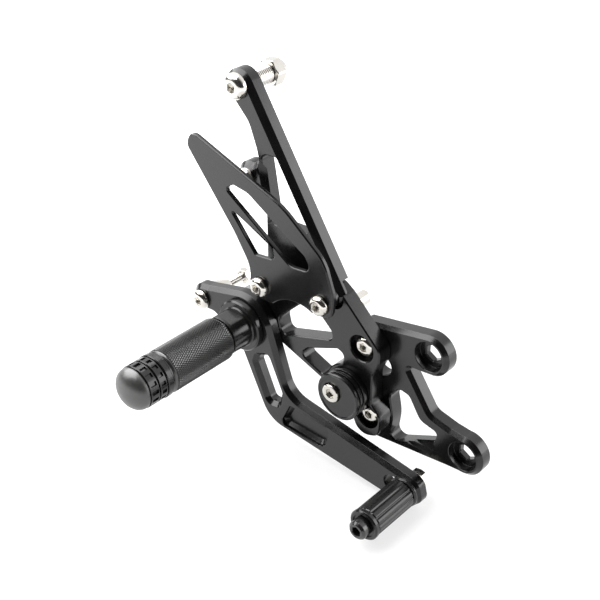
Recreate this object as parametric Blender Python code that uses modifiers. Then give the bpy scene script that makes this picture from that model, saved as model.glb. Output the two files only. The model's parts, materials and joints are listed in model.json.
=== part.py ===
"""Adjustable rear-set for a motorcycle: foot peg, brake pedal, heel guard and brackets.

Driving dimensions are in millimetres. +Z is up, +Y points from the rider's boot to the
motorcycle's frame, and every plate lies parallel to the XZ plane. The origin is the centre
of the upper frame-bolt hole, on the face that lies against the frame.
"""
import math

import bmesh
import bpy

MM = 0.001
GAP = 0.3            # clearance between pieces that rest on each other
THREAD_GAP = 0.3     # radial clearance of a shank in its hole
ARC_STEP = 18.0      # degrees between the points of a rounded corner
TURN_STEPS = 24      # facets round a turned piece
BOLT_STEPS = 16      # facets round a fastener

# Levels along Y: the back of the bracket lies on the frame at 0.
BRACKET_T = 10.5
CARRIER_T = 11.5
LEVER_T = 9.0
GUARD_T = 3.0
BRACKET_FRONT = -BRACKET_T
CARRIER_BACK = BRACKET_FRONT - GAP
CARRIER_FRONT = CARRIER_BACK - CARRIER_T
CARRIER_MIDDLE = (CARRIER_BACK + CARRIER_FRONT) / 2
LEVER_BACK = CARRIER_FRONT - 0.5
LEVER_FRONT = LEVER_BACK - LEVER_T
GUARD_BACK = CARRIER_FRONT - 9.5
GUARD_FRONT = GUARD_BACK - GUARD_T

# Axes parallel to Y, as (x, z).
FRAME_HOLE_UPPER = (0.0, 0.0)
FRAME_HOLE_LOWER = (31.0, -62.5)
CARRIER_BOLT_UPPER = (-43.0, -7.5)
CARRIER_BOLT_LOWER = (-36.5, -58.0)
GUARD_BOLT_LEFT = (-118.5, 14.0)
GUARD_BOLT_RIGHT = (-67.0, 21.5)
ARM_BOLT_TOP = (-146.5, 142.0)
ARM_BOLT_LOWER = (-140.0, 81.5)
PEG_AXIS = (-138.5, -25.5)
TOE_AXIS = (4.0, -92.5)
ROD_AXIS = (-178.2, -22.2)
STOP_CENTRE = (-52.5, -44.5)
STOP_SCREW = (-57.5, -43.0)
REAR_POST = (-61.0, 12.5)

# Bracket
LUG_R = 14.4
FRAME_HOLE_AF = 10.5
FRAME_COUNTERBORE_R = 10.3
FRAME_COUNTERBORE_DEPTH = 6.0
BRACKET_CHAMFER = 2.6
ADJUST_HOLE = (-35.5, -23.0)
ADJUST_HOLE_R = 8.0
LEDGE_DEPTHS = (2.1, 4.7)

# Carrier plate and upper arm
EDGE_BREAK = 0.8
ARM_CHAMFER = 3.8
CARRIER_HUB_R = 21.0
STOP_BOSS_R = 18.5
BOLT_RECESS_R = 9.4
BOLT_RECESS_DEPTH = 6.3
LAP_GAP = 0.4
LEG_CHAMFER = 4.2

# Pedal
PEDAL_CHAMFER = 3.0
PEDAL_HUB_R = 23.4
PEDAL_BORE_R = 13.0
PEDAL_POCKET_DEPTH = 5.0
PEDAL_SLOT_SLOPE = 3.0
TOE_SLOT_LENGTH = 11.0
TOE_SLOT_R = 6.3

# Foot peg, measured along its axis from the bracket's back face
BUSH_OUTER_R = 12.7
BUSH_INNER_R = 10.8
PEG_SPIGOT_R = 10.5
PEG_FLANGE_R = 18.8
PEG_FLANGE_T = 4.7
PEG_NECK_R = 14.0
PEG_NECK_FLATS = 24.0
NECK_COLLAR = 3.0
NECK_FILLET = 2.0
PEG_CORE_R = 6.0
PEG_R = 15.5
PEG_BARREL_START = -54.8
PEG_BARREL_END = -108.2
PEG_BOLT_R = 5.0
PEG_BOLT_HEAD = 8.0
PEG_THREAD_DEPTH = 12.0
CAP_SPIGOT = 18.5

# Toe peg
TOE_R = 10.4
TOE_COLLAR_R = 10.8
TOE_SLEEVE_BACK = -35.2
TOE_SLEEVE_FRONT = -71.3
TOE_COLLAR_T = 3.2

# Pedal stop
STOP_R = 17.1
STOP_FRONT = -33.8
STOP_SPLIT = -28.4
STOP_SEAT_DEPTH = 2.9

# Fasteners
BUTTON = {"shank": 4.0, "head": 7.0, "height": 4.4, "hex": 5.0}
CAP = {"shank": 4.0, "head": 6.5, "height": 8.0, "hex": 6.0}
TOP_BOLT = {"shank": 5.0, "head": 8.7, "height": 5.6, "hex": 6.0}
PLATE_BOLT = {"shank": 4.0, "head": 7.4, "height": 4.6, "hex": 5.0}
ROD_BOLT = {"shank": 3.0, "head": 7.2, "height": 4.2, "hex": 4.0}
POST_SCREW = {"shank": 3.0, "head": 5.0, "height": 14.0, "hex": 5.0}
POST_REACH = 5.0
GUARD_BOLT_LENGTH = 22.0
PLATE_BOLT_LENGTH = 15.0
STOP_SCREW_LENGTH = 18.0
STOP_SCREW_HEAD = 4.4
ARM_BOLT_LENGTH = 23.0
TOP_BOLT_LENGTH = 36.0
TOP_SPACER_R = 6.4
TOP_SPACER_BACK = 5.0
GUARD_SPACER_R = 6.0
M8_NUT = {"across_flats": 13.0, "height": 6.5}
M10_NUT = {"across_flats": 16.5, "height": 8.4, "dome": 7.0}
M6_NUT = {"across_flats": 10.0, "height": 5.0}
TOE_NUT_WASHER_R = 8.4
TOE_NUT_WASHER_T = 1.6
TOE_BOLT_REACH = 11.5

# Pin of the master cylinder's rod
ROD_BOLT_LENGTH = 46.0
ROD_CONE_R = 7.7
ROD_CONE_LENGTH = 17.0
ROD_CONE_CYLINDER = 6.0
ROD_NUT_FRONT = 8.0

ANODISED_BLACK = ((0.045, 0.043, 0.050, 1.0), 0.42, 0.85)
ANODISED_PEG = ((0.060, 0.058, 0.060, 1.0), 0.45, 0.85)
STAINLESS = ((0.62, 0.61, 0.59, 1.0), 0.22, 1.0)
BLACK_STEEL = ((0.025, 0.024, 0.025, 1.0), 0.38, 0.9)
BRONZE = ((0.45, 0.29, 0.13, 1.0), 0.35, 1.0)


# ---------------------------------------------------------------- scene and materials

def clear_scene():
    for obj in list(bpy.data.objects):
        bpy.data.objects.remove(obj, do_unlink=True)


def new_collection(name):
    collection = bpy.data.collections.new(name)
    bpy.context.scene.collection.children.link(collection)
    return collection


def move_to(obj, collection):
    for other in list(obj.users_collection):
        other.objects.unlink(obj)
    collection.objects.link(obj)


def material(name, look):
    colour, roughness, metallic = look
    made = bpy.data.materials.new(name)
    made.use_nodes = True
    shader = made.node_tree.nodes["Principled BSDF"]
    shader.inputs["Base Color"].default_value = colour
    shader.inputs["Roughness"].default_value = roughness
    shader.inputs["Metallic"].default_value = metallic
    return made


# ---------------------------------------------------------------- outlines in the XZ plane

def arc(centre, radius, start, end):
    """Points of an arc, as corners without rounding; angles in degrees from +X towards +Z."""
    count = max(2, math.ceil(abs(end - start) / ARC_STEP))
    angles = [math.radians(start + (end - start) * i / count) for i in range(count + 1)]
    return [(centre[0] + radius * math.cos(a), centre[1] + radius * math.sin(a), 0.0)
            for a in angles]


def circle(centre, radius):
    return arc(centre, radius, 0.0, 360.0)[:-1]


def slot(start, end, radius):
    """A straight slot with round ends, from one centre to the other."""
    heading = math.degrees(math.atan2(end[1] - start[1], end[0] - start[0]))
    return (arc(end, radius, heading - 90, heading + 90)
            + arc(start, radius, heading + 90, heading + 270))


def sides_at(corners, i):
    """Unit vectors of the sides that enter and leave corner i."""
    x0, z0 = corners[i - 1][:2]
    x1, z1 = corners[i][:2]
    x2, z2 = corners[(i + 1) % len(corners)][:2]
    before = math.hypot(x1 - x0, z1 - z0)
    after = math.hypot(x2 - x1, z2 - z1)
    return ((x1 - x0) / before, (z1 - z0) / before), ((x2 - x1) / after, (z2 - z1) / after)


def offset(corners, distance):
    """Moves every side outwards by distance; negative distances move it inwards."""
    doubled_area = sum(corners[i - 1][0] * corners[i][1] - corners[i][0] * corners[i - 1][1]
                       for i in range(len(corners)))
    outward = 1.0 if doubled_area > 0 else -1.0
    moved = []
    for i, (x, z, radius) in enumerate(corners):
        (ax, az), (bx, bz) = sides_at(corners, i)
        convex = (ax * bz - az * bx) * outward > 0
        reach = distance * outward / (1 + ax * bx + az * bz)
        if radius > 0.0:
            radius = max(radius + (distance if convex else -distance), 0.0)
        moved.append((x + (az + bz) * reach, z - (ax + bx) * reach, radius))
    return moved


def rounded(corners):
    """Replaces each corner (x, z, radius) by the points of its rounding."""
    points = []
    for i, (x, z, radius) in enumerate(corners):
        if radius <= 0.0:
            points.append((x, z))
            continue
        (ax, az), (bx, bz) = sides_at(corners, i)
        turn = math.atan2(ax * bz - az * bx, ax * bx + az * bz)
        reach = radius * math.tan(abs(turn) / 2)
        towards = math.copysign(radius, turn)
        centre_x = x - ax * reach - az * towards
        centre_z = z - az * reach + ax * towards
        start = math.atan2(-ax * towards, az * towards)
        steps = max(1, math.ceil(abs(math.degrees(turn)) / ARC_STEP))
        for k in range(steps + 1):
            angle = start + turn * k / steps
            points.append((centre_x + radius * math.cos(angle),
                           centre_z + radius * math.sin(angle)))
    return points


# ---------------------------------------------------------------- solids

def flat_solid(name, corners, front, back, chamfer=0.0, back_chamfer=0.0):
    """A plate between two levels of Y, from a filled and extruded 2D curve."""
    curve = bpy.data.curves.new(name, "CURVE")
    curve.dimensions = "2D"
    curve.fill_mode = "BOTH"
    curve.extrude = (back - front) / 2 * MM
    curve.render_resolution_u = 0
    points = rounded(corners)
    spline = curve.splines.new("POLY")
    spline.points.add(len(points) - 1)
    for point, (x, z) in zip(spline.points, points):
        point.co = (x * MM, z * MM, 0.0, 1.0)
    spline.use_cyclic_u = True
    drawn = bpy.data.objects.new(name + "_curve", curve)
    drawn.location = (0.0, (front + back) / 2 * MM, 0.0)
    drawn.rotation_euler = (math.radians(90), 0.0, 0.0)
    bpy.context.scene.collection.objects.link(drawn)
    bpy.context.view_layer.update()
    evaluated = drawn.evaluated_get(bpy.context.evaluated_depsgraph_get())
    mesh = bpy.data.meshes.new_from_object(evaluated)
    mesh.name = name
    solid = bpy.data.objects.new(name, mesh)
    solid.matrix_world = drawn.matrix_world.copy()
    bpy.data.objects.remove(drawn)
    bpy.data.curves.remove(curve)
    weld(mesh, chamfer > 0.0, back_chamfer > 0.0)
    if chamfer > 0.0 or back_chamfer > 0.0:
        bevel = solid.modifiers.new("chamfer", "BEVEL")
        bevel.limit_method = "WEIGHT"
        bevel.width = max(chamfer, back_chamfer) * MM
        bevel.segments = 1
        bevel.use_clamp_overlap = False
    return solid


def weld(mesh, chamfer_front, chamfer_back):
    """Closes the caps and marks the rims to chamfer. The mesh's own +Z is the front."""
    bm = bmesh.new()
    bm.from_mesh(mesh)
    bmesh.ops.remove_doubles(bm, verts=bm.verts, dist=0.00001)
    bmesh.ops.dissolve_limit(bm, angle_limit=math.radians(0.2), verts=bm.verts, edges=bm.edges)
    bmesh.ops.recalc_face_normals(bm, faces=bm.faces)
    weight = bm.edges.layers.float.new("bevel_weight_edge")
    for edge in bm.edges:
        heights = [vert.co.z for vert in edge.verts]
        if chamfer_front and min(heights) > 0.0 or chamfer_back and max(heights) < 0.0:
            edge[weight] = 1.0
    bm.to_mesh(mesh)
    bm.free()


def widen_front(solid, corners, reach):
    """Extrudes a cutter's front cap by reach, leaning outwards at 45 degrees."""
    outline = [(x, z, 0.0) for x, z in rounded(corners)]
    wider = {(round(x * 100), round(z * 100)): (wide_x, wide_z)
             for (x, z, _), (wide_x, wide_z, _) in zip(outline, offset(outline, reach))}
    bm = bmesh.new()
    bm.from_mesh(solid.data)
    cap = max(bm.faces, key=lambda face: face.calc_center_median().z)
    extruded = bmesh.ops.extrude_face_region(bm, geom=[cap])
    for vert in extruded["geom"]:
        if isinstance(vert, bmesh.types.BMVert):
            x, z = wider[round(vert.co.x / MM * 100), round(vert.co.y / MM * 100)]
            vert.co = (x * MM, z * MM, vert.co.z + reach * MM)
    bmesh.ops.delete(bm, geom=[cap], context="FACES_ONLY")
    bmesh.ops.recalc_face_normals(bm, faces=bm.faces)
    bm.to_mesh(solid.data)
    bm.free()


def turned(name, profile, axis, level, steps=TURN_STEPS, closed=False):
    """A piece turned about an axis along Y. The profile is (radius, reach), where reach
    is the distance from level towards the rider, and runs down the outer side."""
    mesh = bpy.data.meshes.new(name)
    bm = bmesh.new()
    verts = [bm.verts.new((radius * MM, 0.0, reach * MM)) for radius, reach in profile]
    for first, second in zip(verts, verts[1:]):
        bm.edges.new((first, second))
    if closed:
        bm.edges.new((verts[-1], verts[0]))
    bm.to_mesh(mesh)
    bm.free()
    piece = bpy.data.objects.new(name, mesh)
    piece.location = (axis[0] * MM, level * MM, axis[1] * MM)
    piece.rotation_euler = (math.radians(90), 0.0, 0.0)
    screw = piece.modifiers.new("turn", "SCREW")
    screw.steps = steps
    screw.render_steps = steps
    screw.use_merge_vertices = True
    screw.merge_threshold = 0.00001
    screw.use_smooth_shade = True
    return piece


class Builder:
    """Places the finished pieces and their cutters in two collections."""

    def __init__(self):
        self.parts = new_collection("rearset_foot_peg")
        self.cutters = new_collection("cutters")
        self.materials = {
            "black_anodised": material("black_anodised", ANODISED_BLACK),
            "peg_anodised": material("peg_anodised", ANODISED_PEG),
            "stainless": material("stainless", STAINLESS),
            "black_steel": material("black_steel", BLACK_STEEL),
            "bronze": material("bronze", BRONZE),
        }

    def add(self, piece, finish):
        move_to(piece, self.parts)
        piece.data.materials.clear()
        piece.data.materials.append(self.materials[finish])
        return piece

    def cut(self, piece, cutter, operation="DIFFERENCE"):
        if cutter.name not in self.cutters.objects:
            move_to(cutter, self.cutters)
            cutter.hide_render = True
            cutter.display_type = "WIRE"
        boolean = piece.modifiers.new(cutter.name, "BOOLEAN")
        boolean.operation = operation
        boolean.solver = "EXACT"
        boolean.object = cutter
        return cutter

    def drill(self, piece, axis, radius, front, back, vertices=TURN_STEPS, spin=0.0):
        """Cuts a round or hexagonal hole along Y between two levels."""
        bpy.ops.mesh.primitive_cylinder_add(
            vertices=vertices, radius=radius * MM, depth=(back - front) * MM,
            location=(axis[0] * MM, (front + back) / 2 * MM, axis[1] * MM),
            rotation=(math.radians(90), math.radians(spin), 0.0))
        cutter = bpy.context.object
        cutter.name = piece.name + "_hole"
        return self.cut(piece, cutter)

    def mill_flats(self, piece, axis, across_flats, front, back):
        """Cuts two parallel flats, above and below the axis, between two levels."""
        width = 40.0
        for side in (-1, 1):
            bpy.ops.mesh.primitive_cube_add(size=1.0)
            cutter = bpy.context.object
            cutter.name = piece.name + "_flat"
            cutter.scale = (width * MM, (back - front) * MM, width * MM)
            cutter.location = (axis[0] * MM, (front + back) / 2 * MM,
                               (axis[1] + side * (across_flats + width) / 2) * MM)
            self.cut(piece, cutter)

    def hole(self, piece, axis, shank, front, back):
        """Drills a clearance hole right through for a shank of that radius."""
        self.drill(piece, axis, shank + THREAD_GAP, front - 1.0, back + 1.0)

    def window(self, piece, name, corners, front, back, slope):
        """Cuts a window right through, with a rim that slopes outwards at the front."""
        cutter = flat_solid(name, corners, front + slope, back + 1.0)
        widen_front(cutter, corners, slope + 1.0)
        self.cut(piece, cutter)

    def pocket(self, piece, name, corners, front, depth, slope):
        """Cuts a blind pocket whose walls lean outwards by slope."""
        cutter = flat_solid(name, corners, front - 1.0, front + depth, back_chamfer=slope)
        self.cut(piece, cutter)


def hex_radius(across_flats):
    return across_flats / math.sqrt(3)


# ---------------------------------------------------------------- fasteners

def button_bolt(b, name, axis, seat, size, length, finish="stainless"):
    """Domed socket screw whose head rests on the face at seat."""
    head, height, shank = size["head"], size["height"], size["shank"]
    profile = [(0.0, height), (head * 0.52, height), (head * 0.74, height * 0.86),
               (head * 0.90, height * 0.58), (head, height * 0.14), (head * 0.985, 0.0),
               (shank, 0.0), (shank, 0.8 - length), (shank - 0.8, -length), (0.0, -length)]
    bolt = b.add(turned(name, profile, axis, seat - GAP, BOLT_STEPS), finish)
    top = seat - GAP - height
    b.drill(bolt, axis, hex_radius(size["hex"]), top - 1.0, top + height * 0.62, 6)
    return bolt


def cap_bolt(b, name, axis, seat, size, length, finish="stainless"):
    """Cylindrical-head socket screw whose head rests on the face at seat."""
    head, height, shank = size["head"], size["height"], size["shank"]
    profile = [(0.0, height), (head - 0.7, height), (head, height - 0.7), (head, 0.0),
               (shank, 0.0), (shank, 0.8 - length), (shank - 0.8, -length), (0.0, -length)]
    bolt = b.add(turned(name, profile, axis, seat - GAP, BOLT_STEPS), finish)
    top = seat - GAP - height
    b.drill(bolt, axis, hex_radius(size["hex"]), top - 1.0, top + height * 0.5, 6)
    return bolt


def hex_nut(b, name, axis, front, size, shank, spin=0.0):
    height = size["height"]
    bpy.ops.mesh.primitive_cylinder_add(
        vertices=6, radius=hex_radius(size["across_flats"]) * MM, depth=height * MM,
        location=(axis[0] * MM, (front + height / 2) * MM, axis[1] * MM),
        rotation=(math.radians(90), math.radians(30.0 + spin), 0.0))
    nut = bpy.context.object
    nut.name = name
    nut.data.name = name
    b.add(nut, "stainless")
    b.drill(nut, axis, shank + THREAD_GAP, front - 1.0, front + height + 1.0, BOLT_STEPS)
    return nut


def dome_nut(b, name, axis, front, size, shank, spin=0.0):
    """Hexagonal nut whose back is closed by a dome, with a blind bore."""
    back = front + size["height"]
    radius = size["dome"]
    bpy.ops.mesh.primitive_cylinder_add(
        vertices=6, radius=hex_radius(size["across_flats"]) * MM, depth=size["height"] * MM,
        location=(axis[0] * MM, (front + back) / 2 * MM, axis[1] * MM),
        rotation=(math.radians(90), math.radians(30.0 + spin), 0.0))
    nut = bpy.context.object
    nut.name = name
    nut.data.name = name
    b.add(nut, "stainless")
    profile = [(0.0, 1.0), (radius, 1.0), (radius, -0.8), (0.92 * radius, -3.0),
               (0.66 * radius, -4.9), (0.33 * radius, -5.8), (0.0, -6.0)]
    b.cut(nut, turned(name + "_dome", profile, axis, back, BOLT_STEPS), "UNION")
    b.drill(nut, axis, shank + THREAD_GAP, front - 1.0, back + 0.4, BOLT_STEPS)
    return nut


def ring(b, name, axis, front, back, outer, inner, finish, edge=0.4):
    """Washer, spacer or bush with broken outer edges."""
    length = back - front
    profile = [(outer - edge, 0.0), (outer, -edge), (outer, edge - length),
               (outer - edge, -length), (inner, -length), (inner, 0.0)]
    return b.add(turned(name, profile, axis, front, BOLT_STEPS, closed=True), finish)


# ---------------------------------------------------------------- plates

def bracket_outline():
    return ([(-54.0, 4.0, 5.0)]
            + arc(FRAME_HOLE_UPPER, LUG_R, 102, -78)
            + [(-15.5, -15.6, 1.6), (4.2, -43.6, 9.0), (20.0, -47.2, 6.0)]
            + arc(FRAME_HOLE_LOWER, LUG_R, 96, -96)
            + [(20.0, -77.6, 8.0), (-45.0, -85.0, 7.0), (-52.0, -70.0, 12.0)])


def bracket_window():
    return [(-20.5, -35.0, 5.0), (-27.5, -44.0, 7.0), (-24.0, -60.0, 30.0),
            (-26.0, -77.3, 5.0), (-18.5, -77.3, 5.0), (9.3, -63.6, 3.5), (11.0, -54.5, 3.0),
            (-3.0, -51.5, 9.0), (-12.5, -36.5, 4.0)]


def bracket_ledge(step):
    """Pocket beside the window's sloping lower edge; the second one is a step higher."""
    rise, inset = 2.4 * step, 1.7 * step
    return [(-20.0, -66.0, 0.0), (-20.0, -74.1 + rise, 0.0), (8.2 - inset, -74.1 + rise, 1.8),
            (10.5 - inset, -69.0 + rise, 1.8), (8.6 - inset, -61.0, 0.0)]


def make_bracket(b):
    """Main bracket: two counterbored lugs with hexagonal holes, and the carrier's seat."""
    plate = flat_solid("main_bracket", bracket_outline(), BRACKET_FRONT, 0.0, BRACKET_CHAMFER)
    b.add(plate, "black_anodised")
    b.window(plate, "bracket_window", bracket_window(), BRACKET_FRONT, 0.0, 1.2)
    for step, depth in enumerate(LEDGE_DEPTHS):
        b.pocket(plate, "bracket_ledge_%d" % (step + 1), bracket_ledge(step), BRACKET_FRONT,
                 depth, 0.0)
    b.window(plate, "adjust_hole", circle(ADJUST_HOLE, ADJUST_HOLE_R), BRACKET_FRONT, 0.0, 0.6)
    for axis in (CARRIER_BOLT_UPPER, CARRIER_BOLT_LOWER):
        b.hole(plate, axis, PLATE_BOLT["shank"], BRACKET_FRONT, 0.0)
    for axis in (FRAME_HOLE_UPPER, FRAME_HOLE_LOWER):
        b.drill(plate, axis, hex_radius(FRAME_HOLE_AF), BRACKET_FRONT - 1.0, 1.0, 6)
        b.drill(plate, axis, FRAME_COUNTERBORE_R, BRACKET_FRONT - 1.0,
                BRACKET_FRONT + FRAME_COUNTERBORE_DEPTH)
    return plate


def carrier_outline():
    return ([(-66.0, 29.5, 4.0), (-58.6, 24.6, 2.0), (-28.0, -4.5, 9.0), (-28.6, -13.5, 6.0),
             (-33.5, -24.0, 10.0), (-33.5, -46.5, 7.0), (-25.2, -55.5, 8.0),
             (-26.2, -70.5, 9.0), (-43.0, -77.0, 10.0)]
            + arc(STOP_CENTRE, STOP_BOSS_R, 280, 192)
            + [(-79.0, -45.5, 5.0), (-116.0, -32.5, 8.0)]
            + arc(PEG_AXIS, CARRIER_HUB_R, 320, 110)
            + [(-131.0, 1.5, 8.0)]
            + arc(GUARD_BOLT_LEFT, 8.0, 190, 95))


def carrier_window_upper():
    return [(-111.5, -27.0, 4.5), (-66.0, -11.5, 4.5), (-68.5, -5.0, 4.0), (-78.5, 4.0, 3.0),
            (-95.0, 4.0, 5.0), (-114.5, -15.0, 5.0)]


def carrier_window_lower():
    return ([(-93.5, -33.5, 3.0), (-90.5, -37.0, 2.0), (-75.0, -43.0, 3.0)]
            + arc(STOP_CENTRE, STOP_BOSS_R + 0.5, 160, 108)
            + [(-57.0, -18.5, 4.0), (-63.0, -16.8, 2.0), (-88.0, -27.8, 2.0)])


def arm_outline():
    """Upper arm with its rear leg; both end in a lug on a heel-guard bolt."""
    return ([(-151.4, 129.4, 4.0)] + arc((-147.4, 139.8), 12.0, 212, 32)
            + arc(GUARD_BOLT_RIGHT, 8.2, 20, -80)
            + arc(GUARD_BOLT_LEFT, 9.2, -80, -175)
            + [(-126.6, 30.0, 30.0), (-126.8, 71.0, 6.0)]
            + arc(ARM_BOLT_LOWER, 10.2, 288, 75)
            + [(-132.3, 94.5, 4.0), (-134.5, 103.0, 8.0), (-140.4, 118.5, 14.0)])


def arm_window():
    return [(-128.0, 101.8, 5.0), (-115.2, 102.9, 2.5), (-85.9, 57.0, 4.0),
            (-119.9, 55.5, 4.0)]


def leg_edge():
    """A strip of the window along the rear leg, whose flare chamfers the leg's edge."""
    return [(-125.8, 90.5, 0.0), (-119.9, 59.0, 0.0), (-116.0, 60.0, 0.0),
            (-121.0, 88.0, 0.0)]


def make_arm(b):
    plate = flat_solid("upper_arm", arm_outline(), CARRIER_FRONT, CARRIER_BACK, ARM_CHAMFER)
    b.add(plate, "black_anodised")
    b.window(plate, "arm_window", arm_window(), CARRIER_FRONT, CARRIER_BACK, 1.0)
    b.hole(plate, ARM_BOLT_TOP, TOP_BOLT["shank"], CARRIER_FRONT, CARRIER_BACK)
    for axis in (ARM_BOLT_LOWER, GUARD_BOLT_LEFT, GUARD_BOLT_RIGHT):
        b.hole(plate, axis, BUTTON["shank"], CARRIER_FRONT, CARRIER_BACK)
    b.window(plate, "leg_edge", leg_edge(), CARRIER_FRONT, CARRIER_BACK, LEG_CHAMFER)
    below_lap = [(-150.0, 17.6, 0.0), (-150.0, -20.0, 0.0), (-45.0, -20.0, 0.0),
                 (-45.0, 35.1, 0.0)]
    b.cut(plate, flat_solid("arm_lap", below_lap, CARRIER_MIDDLE - GAP / 2, CARRIER_BACK + 1.0))
    return plate


def make_carrier(b):
    """Carrier plate: holds the foot peg's pivot, the stop disc, the heel guard and the arm."""
    plate = flat_solid("carrier_plate", carrier_outline(), CARRIER_FRONT, CARRIER_BACK,
                       EDGE_BREAK)
    b.add(plate, "black_anodised")
    for name, corners in (("carrier_window_upper", carrier_window_upper()),
                          ("carrier_window_lower", carrier_window_lower())):
        b.window(plate, name, corners, CARRIER_FRONT, CARRIER_BACK, EDGE_BREAK)
    lap = offset(arm_outline(), LAP_GAP)
    b.cut(plate, flat_solid("carrier_lap", lap, CARRIER_FRONT - 1.0, CARRIER_MIDDLE + GAP / 2))
    for axis, shank in ((CARRIER_BOLT_UPPER, PLATE_BOLT["shank"]),
                        (CARRIER_BOLT_LOWER, PLATE_BOLT["shank"]),
                        (GUARD_BOLT_LEFT, BUTTON["shank"]), (GUARD_BOLT_RIGHT, BUTTON["shank"]),
                        (STOP_SCREW, CAP["shank"]), (PEG_AXIS, PEG_BOLT_R)):
        b.hole(plate, axis, shank, CARRIER_FRONT, CARRIER_BACK)
    post_bore = POST_SCREW["shank"] + THREAD_GAP
    b.drill(plate, REAR_POST, post_bore, CARRIER_BACK - POST_REACH, CARRIER_BACK + 1.0)
    for axis in (CARRIER_BOLT_UPPER, CARRIER_BOLT_LOWER):
        b.drill(plate, axis, BOLT_RECESS_R, CARRIER_FRONT - 1.0,
                CARRIER_FRONT + BOLT_RECESS_DEPTH)
    return plate


def guard_outline():
    return [(-183.0, 96.6, 7.0), (-177.5, 107.2, 7.0), (-99.0, 79.6, 60.0), (-64.5, 53.5, 26.0),
            (-56.0, 30.0, 16.0), (-58.0, 12.5, 8.0), (-75.5, 12.5, 7.0), (-92.0, 19.5, 30.0),
            (-108.5, 4.2, 6.0), (-128.2, 4.2, 9.0), (-128.0, 26.0, 20.0), (-141.5, 46.5, 40.0)]


def guard_slot_upper():
    return [(-148.5, 75.6, 2.5), (-92.5, 39.2, 9.0), (-74.0, 41.5, 4.5), (-80.0, 51.0, 5.0),
            (-128.0, 78.8, 14.0), (-141.0, 80.6, 4.0)]


def guard_slot_lower():
    return [(-145.2, 63.0, 1.2), (-122.5, 36.2, 2.0), (-105.5, 38.6, 3.5), (-107.0, 47.6, 5.0)]


def make_guard(b):
    plate = flat_solid("heel_guard", guard_outline(), GUARD_FRONT, GUARD_BACK, EDGE_BREAK)
    b.add(plate, "black_anodised")
    b.window(plate, "guard_slot_upper", guard_slot_upper(), GUARD_FRONT, GUARD_BACK, 0.5)
    b.window(plate, "guard_slot_lower", guard_slot_lower(), GUARD_FRONT, GUARD_BACK, 0.5)
    for side, axis in (("left", GUARD_BOLT_LEFT), ("right", GUARD_BOLT_RIGHT)):
        b.hole(plate, axis, BUTTON["shank"], GUARD_FRONT, GUARD_BACK)
        ring(b, "guard_spacer_" + side, axis, GUARD_BACK + GAP, CARRIER_FRONT - GAP,
             GUARD_SPACER_R, BUTTON["shank"] + THREAD_GAP, "black_anodised")
        button_bolt(b, "guard_bolt_" + side, axis, GUARD_FRONT, BUTTON,
                    GUARD_BOLT_LENGTH)


def pedal_outline():
    return ([(-187.6, -31.4, 9.2), (-187.6, -12.9, 9.2), (-173.0, -10.2, 14.0)]
            + arc(PEG_AXIS, PEDAL_HUB_R, 104, 48)
            + [(-115.5, -17.0, 10.0), (-98.0, -67.7, 18.0), (12.6, -83.0, 9.0),
               (16.2, -97.0, 7.0), (6.0, -107.6, 6.0), (-117.2, -98.4, 24.0)]
            + arc(PEG_AXIS, PEDAL_HUB_R, 262, 200)
            + [(-168.0, -30.2, 5.0)])


def pedal_slot():
    """Through slot of the pedal's upright, at the foot of its sloping rim."""
    return offset([(-128.0, -44.8, 5.0), (-115.5, -39.8, 5.0), (-102.0, -68.5, 9.0),
                   (-104.5, -82.0, 6.0), (-117.5, -84.0, 7.0), (-131.0, -53.5, 5.0)],
                  -PEDAL_SLOT_SLOPE)


def pedal_pocket():
    return [(-96.0, -74.8, 3.2), (-103.5, -91.0, 3.2), (-101.0, -95.0, 3.2),
            (-64.0, -95.6, 8.0), (-60.4, -77.0, 3.2)]


def make_pedal(b):
    """Brake pedal: turns on the foot peg's base and carries the toe peg in a slot."""
    toe_slot = slot((TOE_AXIS[0] - TOE_SLOT_LENGTH, TOE_AXIS[1]), TOE_AXIS, TOE_SLOT_R)
    plate = flat_solid("pedal_arm", pedal_outline(), LEVER_FRONT, LEVER_BACK, PEDAL_CHAMFER)
    b.add(plate, "black_anodised")
    b.window(plate, "pedal_slot", pedal_slot(), LEVER_FRONT, LEVER_BACK, PEDAL_SLOT_SLOPE)
    b.window(plate, "toe_slot", toe_slot, LEVER_FRONT, LEVER_BACK, 0.6)
    b.hole(plate, PEG_AXIS, PEDAL_BORE_R - THREAD_GAP, LEVER_FRONT, LEVER_BACK)
    b.hole(plate, ROD_AXIS, ROD_BOLT["shank"], LEVER_FRONT, LEVER_BACK)
    b.pocket(plate, "pedal_pocket", pedal_pocket(), LEVER_FRONT, PEDAL_POCKET_DEPTH, 2.5)
    return plate


# ---------------------------------------------------------------- foot peg

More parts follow.
